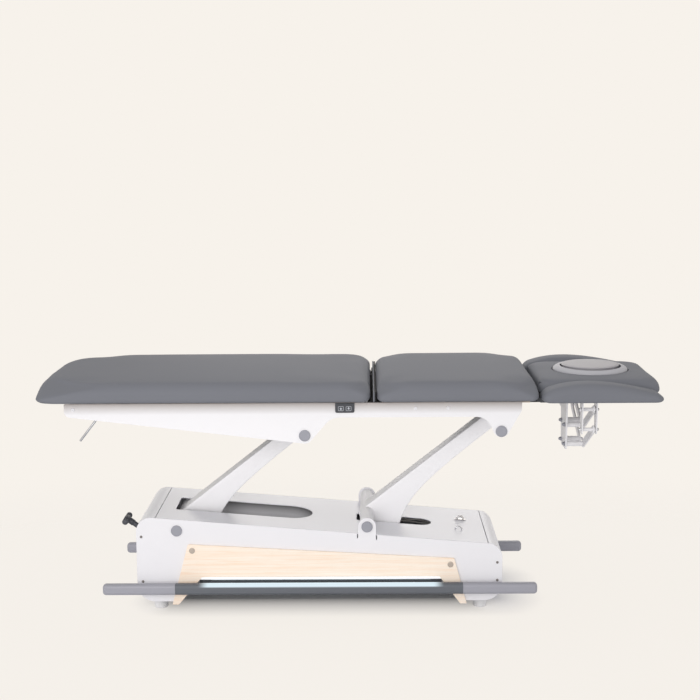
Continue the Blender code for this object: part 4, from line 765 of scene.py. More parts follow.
DROOP_ACROSS = 0.150
RISE_REACH = 0.080
SOFTENING_POWER = 3
TOP_ROLL, LOW_ROLL = 0.55, 0.3


def folded_corner(a, b):
    """A point of a unit square's corner moved into a quarter disc."""
    return a * sqrt(1 - b * b / 2), b * sqrt(1 - a * a / 2)


class Cushion:
    """Upholstered pad on an even grid: soft edges, a flat underside and a crowned top whose corners fall.

    edges are the roundings at the foot end, the sides and the head end. softening (wider corners on top),
    droop (fall of the corners) and reach (how far along it runs) are pairs for the foot and head end.
    """

    def __init__(self, x0, x1, y0, y1, corner, edges, bottom_edge, thickness, crown, softening=(0.0, 0.0),
                 droop=(0.0, 0.0), reach=(0.130, 0.130), rise=0.0):
        self.low, self.high = Vector((x0, y0)), Vector((x1, y1))
        self.corner = corner
        self.edges = edges
        self.bottom_edge = bottom_edge
        self.thickness = thickness
        self.crown = crown
        self.softening = softening
        self.droop = droop
        self.reach = reach
        self.rise = rise

    def corner_at(self, x, y, level):
        """Rounding of the nearest corner, wider towards the top, and the centre of its arc."""
        right, far = x > (self.low.x + self.high.x) / 2, y > (self.low.y + self.high.y) / 2
        radius = self.corner + self.softening[right] * ((level + 1) / 2) ** SOFTENING_POWER
        centre = Vector((self.high.x - radius if right else self.low.x + radius,
                         self.high.y - radius if far else self.low.y + radius))
        return radius, centre, Vector((1 if right else -1, 1 if far else -1))

    def near_corner(self, place, along, across):
        """One at a corner, falling to nothing at the given distances from it."""
        gaps = (min(place.x - self.low.x, self.high.x - place.x) / along,
                min(place.y - self.low.y, self.high.y - place.y) / across)
        shares = [max(0, 1 - max(gap, 0)) ** 2 for gap in gaps]
        return shares[0] * shares[1]

    def pinched(self, place, height):
        """How far a corner falls on top and rises below, for a share of the thickness."""
        right = place.x > (self.low.x + self.high.x) / 2
        fall = self.droop[right] * self.near_corner(place, self.reach[right], DROOP_ACROSS)
        rise = 0.0 if right else self.rise * self.near_corner(place, RISE_REACH, RISE_REACH)
        return rise * (1 - height) - fall * height

    def plan_place(self, x, y, level):
        """The point inside the rounded plan, its way out to the edge and its distance from it."""
        radius, centre, out = self.corner_at(x, y, level)
        a = max(0, (x - centre.x) * out.x) / radius
        b = max(0, (y - centre.y) * out.y) / radius
        if a > 0 and b > 0:
            a, b = folded_corner(min(a, 1), min(b, 1))
            way = Vector((a * out.x, b * out.y))
            place = centre + way * radius
            reach = way.length
            return place, way.normalized(), radius * (1 - reach)
        place = Vector((x, y))
        gaps = [(x - self.low.x, Vector((-1, 0))), (self.high.x - x, Vector((1, 0))),
                (y - self.low.y, Vector((0, -1))), (self.high.y - y, Vector((0, 1)))]
        gap, way = min(gaps, key=lambda pair: pair[0])
        return place, way, gap

    def vertex(self, x, y, level):
        """Place of a grid point; level runs from -1 at the underside to 1 on top."""
        place, way, gap = self.plan_place(x, y, level)
        thick = self.thickness(place.x, place.y)
        foot, side, head = self.edges
        upper = side + (foot - side) * max(0, -way.x) ** 2 + (head - side) * max(0, way.x) ** 2
        lower = self.bottom_edge * (1 + way.x * way.x)
        edge, roll = (upper, TOP_ROLL) if level > 0 else (lower, LOW_ROLL)
        tall = min(edge, thick * roll)
        a = max(0, 1 - gap / edge)
        b = max(0, (abs(level) * thick / 2 - (thick / 2 - tall)) / tall)
        if a > 0 and b > 0:
            a, b = folded_corner(a, b)
        out = place + way * (gap - edge * (1 - a)) if gap < edge else place
        height = b * tall + (thick / 2 - tall) if b > 0 else abs(level) * thick / 2
        z = thick / 2 + (height if level > 0 else -height)
        if level > 0:
            span = self.high - self.low
            middle = (self.low + self.high) / 2
            u, v = 2 * (out.x - middle.x) / span.x, 2 * (out.y - middle.y) / span.y
            lift = self.crown * max(0, 1 - u ** 4) * max(0, 1 - v * v)
            z += lift * z / thick
        z += self.pinched(out, z / thick)
        return Vector((out.x, out.y, PAD_BOTTOM + z))

    def build(self, name, step, layers=6):
        span = self.high - self.low
        nx, ny = max(4, round(span.x / step)), max(4, round(span.y / step))
        mesh_data = bmesh.new()
        found = {}

        def point(i, j, k):
            key = (i, j, k)
            if key not in found:
                found[key] = mesh_data.verts.new(self.vertex(
                    self.low.x + span.x * i / nx, self.low.y + span.y * j / ny, 2 * k / layers - 1))
            return found[key]

        def face(*keys):
            mesh_data.faces.new([point(*key) for key in keys])

        for i in range(nx):
            for j in range(ny):
                face((i, j, layers), (i + 1, j, layers), (i + 1, j + 1, layers), (i, j + 1, layers))
                face((i, j, 0), (i, j + 1, 0), (i + 1, j + 1, 0), (i + 1, j, 0))
        for k in range(layers):
            for i in range(nx):
                face((i, 0, k), (i + 1, 0, k), (i + 1, 0, k + 1), (i, 0, k + 1))
                face((i + 1, ny, k), (i, ny, k), (i, ny, k + 1), (i + 1, ny, k + 1))
            for j in range(ny):
                face((0, j + 1, k), (0, j, k), (0, j, k + 1), (0, j + 1, k + 1))
                face((nx, j, k), (nx, j + 1, k), (nx, j + 1, k + 1), (nx, j, k + 1))
        return as_object(name, mesh_data)


SWELL_CAP = 0.004
SWELL_FRAMES = 20
SWELL_EVENING = 14
HELD_HEIGHT = 0.0035


def evened(mesh, moves, fixed):
    """Each point's move averaged with its neighbours', so that the tight cover stays smooth."""
    neighbours = [[] for _ in moves]
    for edge in mesh.edges:
        a, b = edge.vertices
        neighbours[a].append(b)
        neighbours[b].append(a)
    for _ in range(SWELL_EVENING):
        moves = [Vector() if still else (move + sum((moves[k] for k in near), Vector()) / len(near)) / 2
                 for move, near, still in zip(moves, neighbours, fixed)]
    return moves


def swollen(item):
    """Foam pressed against its cover: a short cloth run, with the underside held and the movement capped."""
    before = [vertex.co.copy() for vertex in item.data.vertices]
    held = item.vertex_groups.new(name="underside")
    fixed = [place.z < PAD_BOTTOM + HELD_HEIGHT for place in before]
    held.add([k for k, still in enumerate(fixed) if still], 1.0, "REPLACE")
    cloth = item.modifiers.new("cover", "CLOTH")
    settings = cloth.settings
    settings.quality = 5
    settings.mass = 0.4
    settings.tension_stiffness = 25
    settings.compression_stiffness = 25
    settings.shear_stiffness = 15
    settings.bending_stiffness = 3
    settings.use_pressure = True
    settings.uniform_pressure_force = 4
    settings.effector_weights.gravity = 0
    settings.vertex_group_mass = held.name
    cloth.collision_settings.use_collision = False
    scene = bpy.context.scene
    for number in range(1, SWELL_FRAMES + 1):
        scene.frame_set(number)
    depsgraph = bpy.context.evaluated_depsgraph_get()
    after = [vertex.co.copy() for vertex in item.evaluated_get(depsgraph).data.vertices]
    item.modifiers.remove(cloth)
    item.vertex_groups.remove(held)
    moves = [end - start for start, end in zip(before, after)]
    moves = [move * min(1, SWELL_CAP / max(move.length, SWELL_CAP / 100)) for move in moves]
    for vertex, start, move in zip(item.data.vertices, before, evened(item.data, moves, fixed)):
        vertex.co = start + move
    scene.frame_set(1)
    item.data.update()
    return item


def finer(item, levels=1):
    """The cover's grid smoothed into a finer one."""
    modifier = item.modifiers.new("finer", "SUBSURF")
    modifier.levels = levels
    modifier.render_levels = levels
    settled(item)
    item.data.shade_smooth()
    return item


def hinge_slots(axis, y_low, x_low, x_high):
    """Cutters for the two hinge plates inside a cushion's end."""
    play, width, below, rise = 0.0015, 0.017, 0.02, 0.0135
    cutters = []
    for _, sign in SIDES:
        ys = on_side(sign, y_low - play, y_low + width)
        cutters.append(extruded("hinge_slot", box_outline(x_low, x_high, ys[0], ys[1]), "z",
                                PAD_BOTTOM - below, axis.y + rise))
    return cutters


def leg_cushion():
    """Long cushion whose foot corners are soft and fall away."""
    form = Cushion(-1.014, 0.0710, -HALF_WIDTH, HALF_WIDTH, corner=0.030, edges=(0.022, 0.036, 0.036),
                   bottom_edge=0.013, thickness=lambda x, y: 0.0622, crown=0.0045, softening=(0.225, 0.060),
                   droop=(0.036, 0.008), reach=(0.200, 0.130), rise=0.008)
    item = finer(swollen(form.build("leg_cushion", step=0.014)))
    cut(item, *hinge_slots(LEG_AXIS, 0.1975, LEG_AXIS.x - 0.0135, 0.09))
    dressed(item, "vinyl", "leg_section", "leg_pad")
    return item


def middle_cushion():
    """Seat cushion between the leg and head gaps."""
    form = Cushion(0.0842, 0.6112, -HALF_WIDTH, HALF_WIDTH, corner=0.030, edges=(0.034,) * 3,
                   bottom_edge=0.014, thickness=lambda x, y: 0.0615, crown=0.0045, softening=(0.070, 0.080),
                   droop=(0.022, 0.026), reach=(0.130, 0.150))
    item = finer(swollen(form.build("middle_cushion", step=0.014)))
    dressed(item, "vinyl", "top_frame", "mid_pad")
    return item


def head_cushion():
    """Cushion with the face hole and a crease round its collar."""
    form = Cushion(0.620, 1.020, -0.2125, 0.2125, corner=0.030, edges=(0.020, 0.026, 0.017),
                   bottom_edge=0.012, thickness=lambda x, y: 0.0470, crown=0.0015, softening=(0.050, 0.050),
                   droop=(0.003, 0.003))
    item = finer(swollen(form.build("head_cushion", step=0.012)))
    hole = circle(FACE_CENTRE, 0.103, WIDE_STEPS)
    cut(item, extruded("face_hole", hole, "z", PAD_BOTTOM - 0.02, PAD_BOTTOM + 0.1),
        *hinge_slots(HEAD_AXIS, 0.155, 0.60, HEAD_AXIS.x + 0.0255))
    crease = tube("crease", "z", FACE_CENTRE, PAD_BOTTOM + 0.0430, PAD_BOTTOM + 0.08, 0.1300, 0.1240)
    cut(item, crease)
    dressed(item, "vinyl", "head_section", "head_pad")
    return item


ARM_FLAT = 0.0057
ARM_SPAN = (0.6185, 1.007)


def arm_cushion(side, sign):
    """Armrest cushion, arched along its length."""
    ys = on_side(sign, 0.220, HALF_WIDTH)
    thin, taper, arch, lean = 0.0275, 0.0035, 0.0290, 0.42

    def thickness(x, y):
        along = 2 * (x - ARM_SPAN[0]) / (ARM_SPAN[1] - ARM_SPAN[0]) - 1
        return thin - taper * along + arch * (1 - along * along) * (1 - lean * along)

    form = Cushion(*ARM_SPAN, *ys, corner=0.028, edges=(0.020, 0.026, 0.026), bottom_edge=0.010,
                   thickness=thickness, crown=0.003)
    item = form.build(f"arm_cushion_{side}", step=0.0095)
    for vertex in item.data.vertices:
        vertex.co.z -= ARM_FLAT
    finer(swollen(item))
    dressed(item, "vinyl", f"armrest_{side}", f"armrest_pad_{side}")
    return item


def face_opening():
    """Rounded collar on the head cushion, its sleeve, and the lift-out lid."""
    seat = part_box("head_pad")[1].z + CLEARANCE
    bore, sleeve = 0.0950, 0.1022
    roll = [(0.0, sleeve), (0.0, 0.1245), (0.0012, 0.1258), (0.0032, 0.1264), (0.0062, 0.1256),
            (0.0092, 0.1236), (0.0122, 0.1205), (0.0148, 0.1165), (0.0168, 0.1120), (0.0178, 0.1075),
            (0.0180, 0.1040), (0.0176, 0.0995), (0.0160, 0.0960), (0.0140, bore)]
    profile = [(PAD_BOTTOM, bore), (PAD_BOTTOM, sleeve)]
    profile += [(seat + height, radius) for height, radius in roll]
    collar = lathe("face_collar", profile, "z", FACE_CENTRE, RING_STEPS, ring=True)
    finger_gap = circle(FACE_CENTRE + Vector((0, -0.0100)), 0.1035, WIDE_STEPS)
    cut(collar, extruded("finger_gap", finger_gap, "z", seat + 0.0060, seat + 0.05))
    eased(collar, SOFT_EDGE)
    dressed(collar, "ring", "head_section", "face_ring")
    low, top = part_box("face_plug")[0].z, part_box("face_plug")[1].z
    under = top - 0.005
    rim = [
        (low, 0.070), (low, 0.0885), (low + 0.003, 0.0925), (under - 0.003, 0.0938), (under, 0.0944),
        (under, 0.0960), (under + 0.001, 0.0973), (under + 0.0022, 0.0975), (top - 0.0018, 0.0966),
        (top - 0.0007, 0.0942), (top - 0.0001, 0.0900), (top, 0.080), (top, 0.02)]
    lid = lathe("face_lid", rim, "z", FACE_CENTRE, RING_STEPS)
    dressed(lid, "lid", "face_plug", "face_plug")


def board_lining(node, body, hole=None):
    """Dark cloth under a cushion's board, with staples along its edges."""
    low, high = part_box(node)
    margin, thin = 0.012, 0.00025
    outline = box_outline(low.x + margin, high.x - margin, low.y + margin, high.y - margin, 0.010)
    cloth = extruded(f"{node}_lining", outline, "z", low.z - thin, low.z)
    if hole:
        opening = circle(FACE_CENTRE, hole, WIDE_STEPS)
        cut(cloth, extruded("lining_hole", opening, "z", low.z - CUT_PAST, low.z + CUT_PAST))
    dressed(cloth, "lining", body)
    staple = extruded("staple", box_outline(-0.0005, 0.0005, -0.005, 0.005), "z", -0.0001, 0.0001)
    edge = box_outline(low.x + 0.02, high.x - 0.02, low.y + 0.02, high.y - 0.02, 0.010)
    path = points_object(f"{node}_staples", [(p.x, p.y, low.z - 0.0002) for p in edge], joined=True)
    row = EDGE.make(f"{node}_staples", path, {"Fitting": staple, "Spacing": 0.038,
                                              "Finish": FINISHES["steel"].material})
    dressed(row, "steel", body)
    bpy.data.objects.remove(staple)


def gap_shade_strips():
    """Dark strips that close the gaps between the cushions as painted shade, and a vinyl flap in the leg gap.
    """
    under, low, crest = PAD_BOTTOM - 0.0080, PAD_BOTTOM + 0.0030, PAD_BOTTOM + 0.0330

    def strip(name, outline, top, body):
        dressed(eased(extruded(name, outline, "z", under, top), SOFT_EDGE), "lining", body)

    for name, x0, x1 in (("leg", 0.0590, 0.1045), ("head", 0.5875, 0.6050)):
        strip(f"{name}_gap_lining", box_outline(x0, x1, -0.282, 0.282, 0.002), PAD_BOTTOM - 0.0014,
              "top_frame")
    for name, x0, x1, half, finish in (
            ("leg_gap_flap", 0.0765, 0.0812, 0.322, "vinyl"),
            ("middle_foot_lining", 0.0816, 0.0866, 0.316, "lining")):
        outline = rounded([(-half, low, 0.004), (half, low, 0.004),
                           (half, crest, 0.012), (-half, crest, 0.012)])
        dressed(eased(extruded(name, outline, "x", x0, x1), SOFT_EDGE), finish, "top_frame")
    strip("leg_gap_sill", box_outline(0.0730, 0.0768, -0.280, 0.280, 0.001), PAD_BOTTOM + 0.0140,
          "top_frame")
    for name, y0, y1 in (("left", -0.2110, -0.1765), ("middle", -0.135, 0.135), ("right", 0.1765, 0.2110)):
        strip(f"head_edge_lining_{name}", box_outline(0.6200, 0.6400, y0, y1, 0.002), PAD_BOTTOM + 0.0010,
              "head_section")


# Base

def wall_outline():
    """Side wall with the toe notch below and the head pivot's ear between two slits above."""
    slit, drop = 0.0030, 0.017
    ear = []
    for sign in (1, -1):
        foot = LOWER_HEAD.x + sign * EAR_R
        outer = foot + sign * slit
        fold = [(outer, top_of_base(outer), 0), (outer, top_of_base(outer) - drop, 0),
                (foot, top_of_base(foot) - drop, 0), (foot, LOWER_HEAD.y + EAR_R, EAR_R * 0.98)]
        ear += fold if sign > 0 else fold[::-1]
    below = [(BASE_FOOT_X, BASE_BOTTOM, LOW_CORNER), (NOTCH[0] - 0.004, BASE_BOTTOM, 0),
             (NOTCH[1] - 0.012, NOTCH_TOP, 0.006), (NOTCH[2] + 0.012, NOTCH_TOP, 0.006),
             (NOTCH[3] + 0.004, BASE_BOTTOM, 0), (BASE_HEAD_X, BASE_BOTTOM, LOW_CORNER)]
    head_top = (BASE_HEAD_X, BASE_TOP_HEAD, TOP_CORNER)
    foot_top = (BASE_FOOT_X, BASE_TOP_FOOT, TOP_CORNER)
    return rounded(below + [head_top] + ear + [foot_top])


def panel_outline():
    """Veneer panel with two splayed toes."""
    foot, head = BASE_FOOT_X + 0.173, BASE_HEAD_X - 0.161
    toe_foot, toe_head = foot - 0.056, head + 0.042
    low, lip, width = 0.035, NOTCH_TOP + 0.0125, 0.022
    return rounded([
        (toe_foot, low, 0.001), (toe_foot + width, low, 0.001), (toe_foot + width + 0.080, lip, 0.006),
        (toe_head - width - 0.070, lip, 0.006), (toe_head - width, low, 0.001), (toe_head, low, 0.001),
        (head, 0.192, 0.006), (foot, 0.243, 0.006)])


STUDS = ((-0.530, 0.222), (0.332, 0.171))


def base_walls():
    """Side walls with their veneer panels, the lip of the notch with its painted glow, and the panel's studs.
    """
    face = BASE_HALF + 0.0083
    stud = [(-0.001, 0.0098), (0.0016, 0.0098), (0.0024, 0.0090), (0.0027, 0.0074), (0.0021, 0.0066),
            (0.0021, 0.001)]
    for side, sign in SIDES:
        ys = on_side(sign, BASE_HALF - SHEET, BASE_HALF)
        wall = plate(f"wall_{side}", wall_outline(), "y", ys[0], ys[1],
                     [(LOWER_FOOT, PIVOT_BORE), (LOWER_HEAD, PIVOT_BORE)], 0.0014)
        dressed(wall, "white", "base", f"base_side_{side}")
        ys = on_side(sign, BASE_HALF + CLEARANCE, face)
        panel = plate(f"veneer_panel_{side}", panel_outline(), "y", *ys, edge=0.0009)
        dressed(panel, "wood", "base", f"wood_panel_{side}")
        ys = on_side(sign, BASE_HALF + CLEARANCE, BASE_HALF + 0.0045)
        outline = box_outline(NOTCH[1] - 0.008, NOTCH[2] + 0.008,
                              NOTCH_TOP + 0.0034, NOTCH_TOP + 0.0100, 0.002)
        dressed(eased(extruded(f"notch_lip_{side}", outline, "y", *ys), SOFT_EDGE), "trim", "base")
        profile = [(sign * (face + height), radius) for height, radius in stud]
        studs = [lathe("stud", profile, "y", place, 40) for place in STUDS]
        dressed(gathered(f"panel_studs_{side}", *studs), "stud", "base")


def slot_outline(x_back, x_front, half, nose):
    """Slot with a round nose, seen from above."""
    return rounded([(x_back, -half, 0.012), (x_front, -half, nose),
                    (x_front, half, nose), (x_back, half, 0.012)])


SLOT_FOOT = (LOWER_FOOT.x - 0.019, LOWER_FOOT.x + 0.446, 0.080)
SLOT_HEAD = (LOWER_HEAD.x - 0.036, LOWER_HEAD.x + 0.2225, 0.044)
SLOT_NOSE = 0.97
SEAM_OPEN = 0.0011
LEVER_LEAN, LEVER_LENGTH = radians(36), 0.250


def slot_lip():
    """Painted lip folded down round the foot slot's sides and nose, darkened by painted shade towards the top
    sheet.
    """
    back, front, half = SLOT_FOOT
    depth, thick = 0.060, 0.0020
    outer = slot_outline(back, front + thick, half + thick, (half + thick) * SLOT_NOSE)
    inner = slot_outline(back + thick, front, half, half * SLOT_NOSE)
    rings = []
    for outline, drop in ((outer, SHEET + 0.0002), (outer, depth), (inner, depth), (inner, SHEET + 0.0002)):
        rings.append([(p.x, p.y, top_of_base(p.x) - drop) for p in outline])
    lip = lofted("foot_slot_lip", rings, looped=True)
    clear = LOWER_FOOT.x + 0.075
    cut(lip, extruded("lip_clear", box_outline(back - 0.05, clear, -0.2, 0.2), "z", 0.1, 0.5))
    dressed(lip, "lip", "base")


def base_cover():
    """Sloping top sheet with a slot for each lift arm, and the two bent end covers."""
    x0, x1 = SEAM_FOOT + SEAM_OPEN, SEAM_HEAD - SEAM_OPEN
    outline = [Vector((x0, top_of_base(x0) - SHEET)), Vector((x1, top_of_base(x1) - SHEET)),
               Vector((x1, top_of_base(x1))), Vector((x0, top_of_base(x0)))]
    top = extruded("top_sheet", outline, "y", -INNER_HALF, INNER_HALF)
    cut(top, *[extruded("slot", slot_outline(back, front, half, half * SLOT_NOSE), "z", 0.15, 0.45)
               for back, front, half in (SLOT_FOOT, SLOT_HEAD)])
    dressed(eased(top, 0.0009), "top", "base", "base_top")
    for name, end_x, seam_x, low_x, node in (
            ("foot_end_cover", BASE_FOOT_X, SEAM_FOOT, BASE_FOOT_X + LOW_CORNER, "base_end_foot"),
            ("head_end_cover", BASE_HEAD_X, SEAM_HEAD, BASE_HEAD_X - LOW_CORNER, "base_end_head")):
        inward = 1 if seam_x > end_x else -1
        inner_x = end_x + inward * SHEET
        seam_x -= inward * SEAM_OPEN
        high = top_of_base(end_x)
        outline = rounded([
            (seam_x, top_of_base(seam_x), 0), (end_x, high, TOP_CORNER), (end_x, BASE_BOTTOM, LOW_CORNER),
            (low_x, BASE_BOTTOM, 0), (low_x, BASE_BOTTOM + SHEET, 0),
            (inner_x, BASE_BOTTOM + SHEET, LOW_CORNER - SHEET), (inner_x, high - SHEET, TOP_CORNER - SHEET),
            (seam_x, top_of_base(seam_x) - SHEET, 0)])
        sheet = extruded(name, outline, "y", -INNER_HALF, INNER_HALF)
        if inward > 0:
            pivot = PIVOTS["castor_lever_press"]
            wheel = PIVOTS["castor_wheels_spin"]
            slot_low, slot_high = pivot.z - 0.0162, pivot.z + 0.138 * tan(LEVER_LEAN) + 0.0162
            slot = box_outline(-0.0135, 0.0135, slot_low, slot_high, 0.0130)
            well = box_outline(wheel.x - 0.038, pivot.x + 0.032, -0.105, 0.105, 0.006)
            cut(sheet, extruded("lever_slot", slot, "x", end_x - CUT_PAST, end_x + CUT_PAST),
                extruded("well", well, "z", 0.02, pivot.z - 0.028))
        dressed(eased(sheet, 0.0009), "top", "base", node)


END_SCREWS = ((BASE_FOOT_X + 0.017, 0.268), (BASE_FOOT_X + 0.019, 0.1135), (BASE_HEAD_X - 0.017, 0.175),
              (BASE_HEAD_X - 0.017, 0.1135))


def cap_shaft(name, centre, half, body, node):
    """Pivot shaft with a dished cap outside each wall."""
    cap_in, cap_out = half + CLEARANCE, half + 0.0053
    side = [(cap_out - 0.0006, 0.004), (cap_out - 0.0006, CAP_R - 0.0042), (cap_out, CAP_R - 0.0034),
            (cap_out, CAP_R - 0.0016), (cap_out - 0.0006, CAP_R - 0.0005), (cap_out - 0.0016, CAP_R),
            (cap_in, CAP_R), (cap_in, SHAFT_R)]
    profile = [(-y, r) for y, r in side] + [(y, r) for y, r in side[::-1]]
    dressed(lathe(name, profile, "y", centre, 64), "cap", body, node)


def floor_feet():
    """Grooved levelling feet."""
    for end in ("foot", "head"):
        for side, _ in SIDES:
            node = f"floor_foot_{end}_{side}"
            low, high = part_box(node)
            centre = ((low.x + high.x) / 2, (low.y + high.y) / 2)
            top = high.z
            profile = [(0, 0.0190), (0.0012, 0.0215), (0.0035, 0.0228), (0.0070, 0.0230), (0.0080, 0.0222),
                       (0.0100, 0.0222), (0.0110, 0.0232), (0.0180, 0.0235), (top - 0.012, 0.0235),
                       (top - 0.006, 0.0228), (top - 0.002, 0.0200), (top, 0.0150)]
            dressed(lathe(f"levelling_{node}", profile, "z", centre, 48), "foot", "base", node)


BAR_ARM_X = (-0.40, 0.20)


def light_strips():
    """Milky strips under the edge of the notch, each on a rail painted dark as painted shade."""
    for side, sign in SIDES:
        node = f"led_strip_{side}"
        low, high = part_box(node)
        section = box_outline(low.y, high.y, low.z, high.z, 0.0020)
        strip = extruded(f"light_strip_{side}", section, "x", low.x, high.x)
        dressed(eased(strip, SOFT_EDGE), "light", "base", node)
        ys = on_side(sign, 0.1842, 0.1874)
        outline = box_outline(NOTCH[1] - 0.012, NOTCH[2] + 0.012, 0.0962, 0.1203)
        rail = extruded(f"lamp_rail_{side}", outline, "y", *ys)
        gaps = [box_outline(x - 0.006, x + 0.015, 0.09, 0.102) for x in BAR_ARM_X]
        cut(rail, *[extruded("arm_gap", gap, "y", ys[0] - CUT_PAST, ys[1] + CUT_PAST) for gap in gaps])
        dressed(eased(rail, 0.0006), "inner", "base")


# Lift arms

def arm_point(pivot, u, v):
    """Place along and above a lift arm's own line."""
    return pivot + Matrix.Rotation(LIFT_ANGLE, 2) @ Vector((u, v))


ARM_OVER, ARM_UNDER = 0.022, 0.028
FLARE_DEPTH, FLARE_LENGTH = 0.095, 0.090
HUB_R = 0.0235
CRANK_LENGTH, CRANK_ANGLE = 0.085, radians(-75)
CRANK_PIN = LOWER_HEAD + CRANK_LENGTH * Vector((cos(CRANK_ANGLE), sin(CRANK_ANGLE)))


def arm_outline(lower, crank):
    """Upper path and lower path of a lift arm's side."""
    lobe_r = 0.018
    corners = [(-ARM_OVER, ARM_OVER, ARM_OVER * 0.95)]
    if crank:
        pin = Matrix.Rotation(-LIFT_ANGLE, 2) @ (CRANK_PIN - LOWER_HEAD)
        corners += [(pin.x - lobe_r * 1.05, pin.y - lobe_r * 0.4, lobe_r * 0.8),
                    (pin.x + lobe_r * 0.3, pin.y - lobe_r * 1.15, lobe_r * 0.8)]
    else:
        corners += [(-ARM_OVER, -ARM_UNDER, ARM_OVER * 0.8)]
    steps = 26
    start, end = 0.05, LIFT_LENGTH - 0.05
    for k in range(steps + 1):
        u = start + (end - start) * (k / steps) ** 1.6
        corners.append((u, -ARM_UNDER - FLARE_DEPTH * exp(-(u - 0.04) / FLARE_LENGTH), 0))
    tip = LIFT_LENGTH + ARM_UNDER
    corners += [(tip, -ARM_UNDER, ARM_UNDER * 0.8), (tip, ARM_OVER, ARM_OVER * 0.8)]
    return [arm_point(lower, p.x, p.y) for p in rounded(corners)]


def lift_arm(name, lower, width, crank, node):
    """Folded channel with a rounded bend along its upper edges, and a hub tube at each pivot."""
    half, wall, bend = width / 2, 0.004, 0.005
    upper = arm_point(lower, LIFT_LENGTH, 0)
    channel = extruded(name, arm_outline(lower, crank), "y", -half, half)
    eased(channel, bend, 4)
    back, front, roof, deep = -0.2, LIFT_LENGTH + 0.2, ARM_OVER - wall, -0.4
    hollow = [arm_point(lower, *p) for p in ((back, deep), (front, deep), (front, roof), (back, roof))]
    reach = 0.24
    bores = [extruded("bore", circle(centre, PIVOT_BORE), "y", -reach, reach) for centre in (lower, upper)]
    cut(channel, extruded("hollow", hollow, "y", -half + wall, half - wall), *bores)
    hubs = [tube("hub", "y", lower, -INNER_HALF, INNER_HALF, HUB_R, PIVOT_BORE),
            tube("upper_hub", "y", upper, -0.10, 0.10, HUB_R, PIVOT_BORE)]
    if crank:
        y = half - 0.001
        hubs.append(rod("crank_pin", (CRANK_PIN.x, -y, CRANK_PIN.y), (CRANK_PIN.x, y, CRANK_PIN.y), 0.008))
    dressed(gathered(name, channel, *hubs), "arm", node, node)


# Top frame

LOBE_R = 0.0265


def frame_outline():
    """Side plate with a tapering wing, a rounded lobe round each shaft and a link between them."""
    foot_x, head_x = -0.923, UPPER_HEAD.x + 0.066
    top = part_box("frame_side_left")[1].z
    wing_low, link_low = top - 0.042, top - 0.048
    wing = atan2(UPPER_FOOT.y - LOBE_R - wing_low, UPPER_FOOT.x - foot_x)
    rise, sweep = radians(49), radians(58)
    lobe_foot = lobe(UPPER_FOOT, LOBE_R, wing, rise)
    climb = (link_low - lobe_foot[1]) / tan(rise)
    lobe_head = lobe(UPPER_HEAD, LOBE_R, -pi / 2, sweep)
    shoulder = UPPER_HEAD.y + LOBE_R * 2.6
    lean = (shoulder - lobe_head[1]) / tan(sweep)
    return rounded([
        (foot_x, top, 0.003), (foot_x, wing_low, 0.020), lobe_foot, (lobe_foot[0] + climb, link_low, 0.06),
        (UPPER_HEAD.x - LOBE_R, link_low, 0.056), lobe_head,
        (min(lobe_head[0] + lean, head_x), shoulder, 0.02), (head_x, top, 0.003)])


FRAME_HALF = 0.288
FRAME_SCREWS = ((-0.894, 0.717), (0.213, 0.716), (0.318, 0.717))


def top_frame():
    """Side plates and capped shafts of the top."""
    for side, sign in SIDES:
        ys = on_side(sign, FRAME_HALF - 0.004, FRAME_HALF)
        side_plate = plate(f"frame_plate_{side}", frame_outline(), "y", ys[0], ys[1],
                           [(UPPER_FOOT, PIVOT_BORE), (UPPER_HEAD, PIVOT_BORE)], 0.0012)
        dressed(side_plate, "frame", "top_frame", f"frame_side_{side}")
    cap_shaft("upper_foot_shaft", UPPER_FOOT, FRAME_HALF, "top_frame", "frame_shaft_foot")
    cap_shaft("upper_head_shaft", UPPER_HEAD, FRAME_HALF, "top_frame", "frame_shaft_head")


def control_tag():
    """Small control panel with raised up and down signs."""
    low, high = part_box("control_panel")
    outline = rounded([(low.x, low.z, 0.006), (high.x, low.z, 0.006),
                       (high.x, high.z, 0.0015), (low.x, high.z, 0.0015)])
    tag = plate("control_tag", outline, "y", low.y, high.y, edge=0.0010)
    dressed(tag, "tag", "top_frame", "control_panel")
    signs = []
    face = low.y
    raised = ("y", face - 0.0004, face + 0.0005)
    half_wide, half_tall, line = 0.0088, 0.0075, 0.0011
    barb, shank, neck, tip = 0.0046, 0.0017, 0.001, 0.0048
    arrow = [(-barb, -neck), (0, tip - neck), (barb, -neck), (shank, -neck), (shank, -tip), (-shank, -tip),
             (-shank, -neck)]
    middle = (low.z + high.z) / 2 - 0.002
    for shift, way in ((-0.0125, 1), (0.0125, -1)):
        x = (low.x + high.x) / 2 + shift
        sides = (x - half_wide, x + half_wide, middle - half_tall, middle + half_tall)
        outer = extruded("sign", box_outline(*sides, 0.003), *raised)
        inside = box_outline(sides[0] + line, sides[1] - line, sides[2] + line, sides[3] - line, 0.002)
        cut(outer, extruded("inside", inside, "y", face - CUT_PAST, face + CUT_PAST))
        points = [Vector((x + a, middle + b * way)) for a, b in arrow]
        signs += [outer, extruded("arrow", points, *raised)]
    dressed(gathered("control_signs", *signs), "sign", "top_frame")


# Foot bars and castor lever

BAR_SPLIT = (-0.585, 0.372)


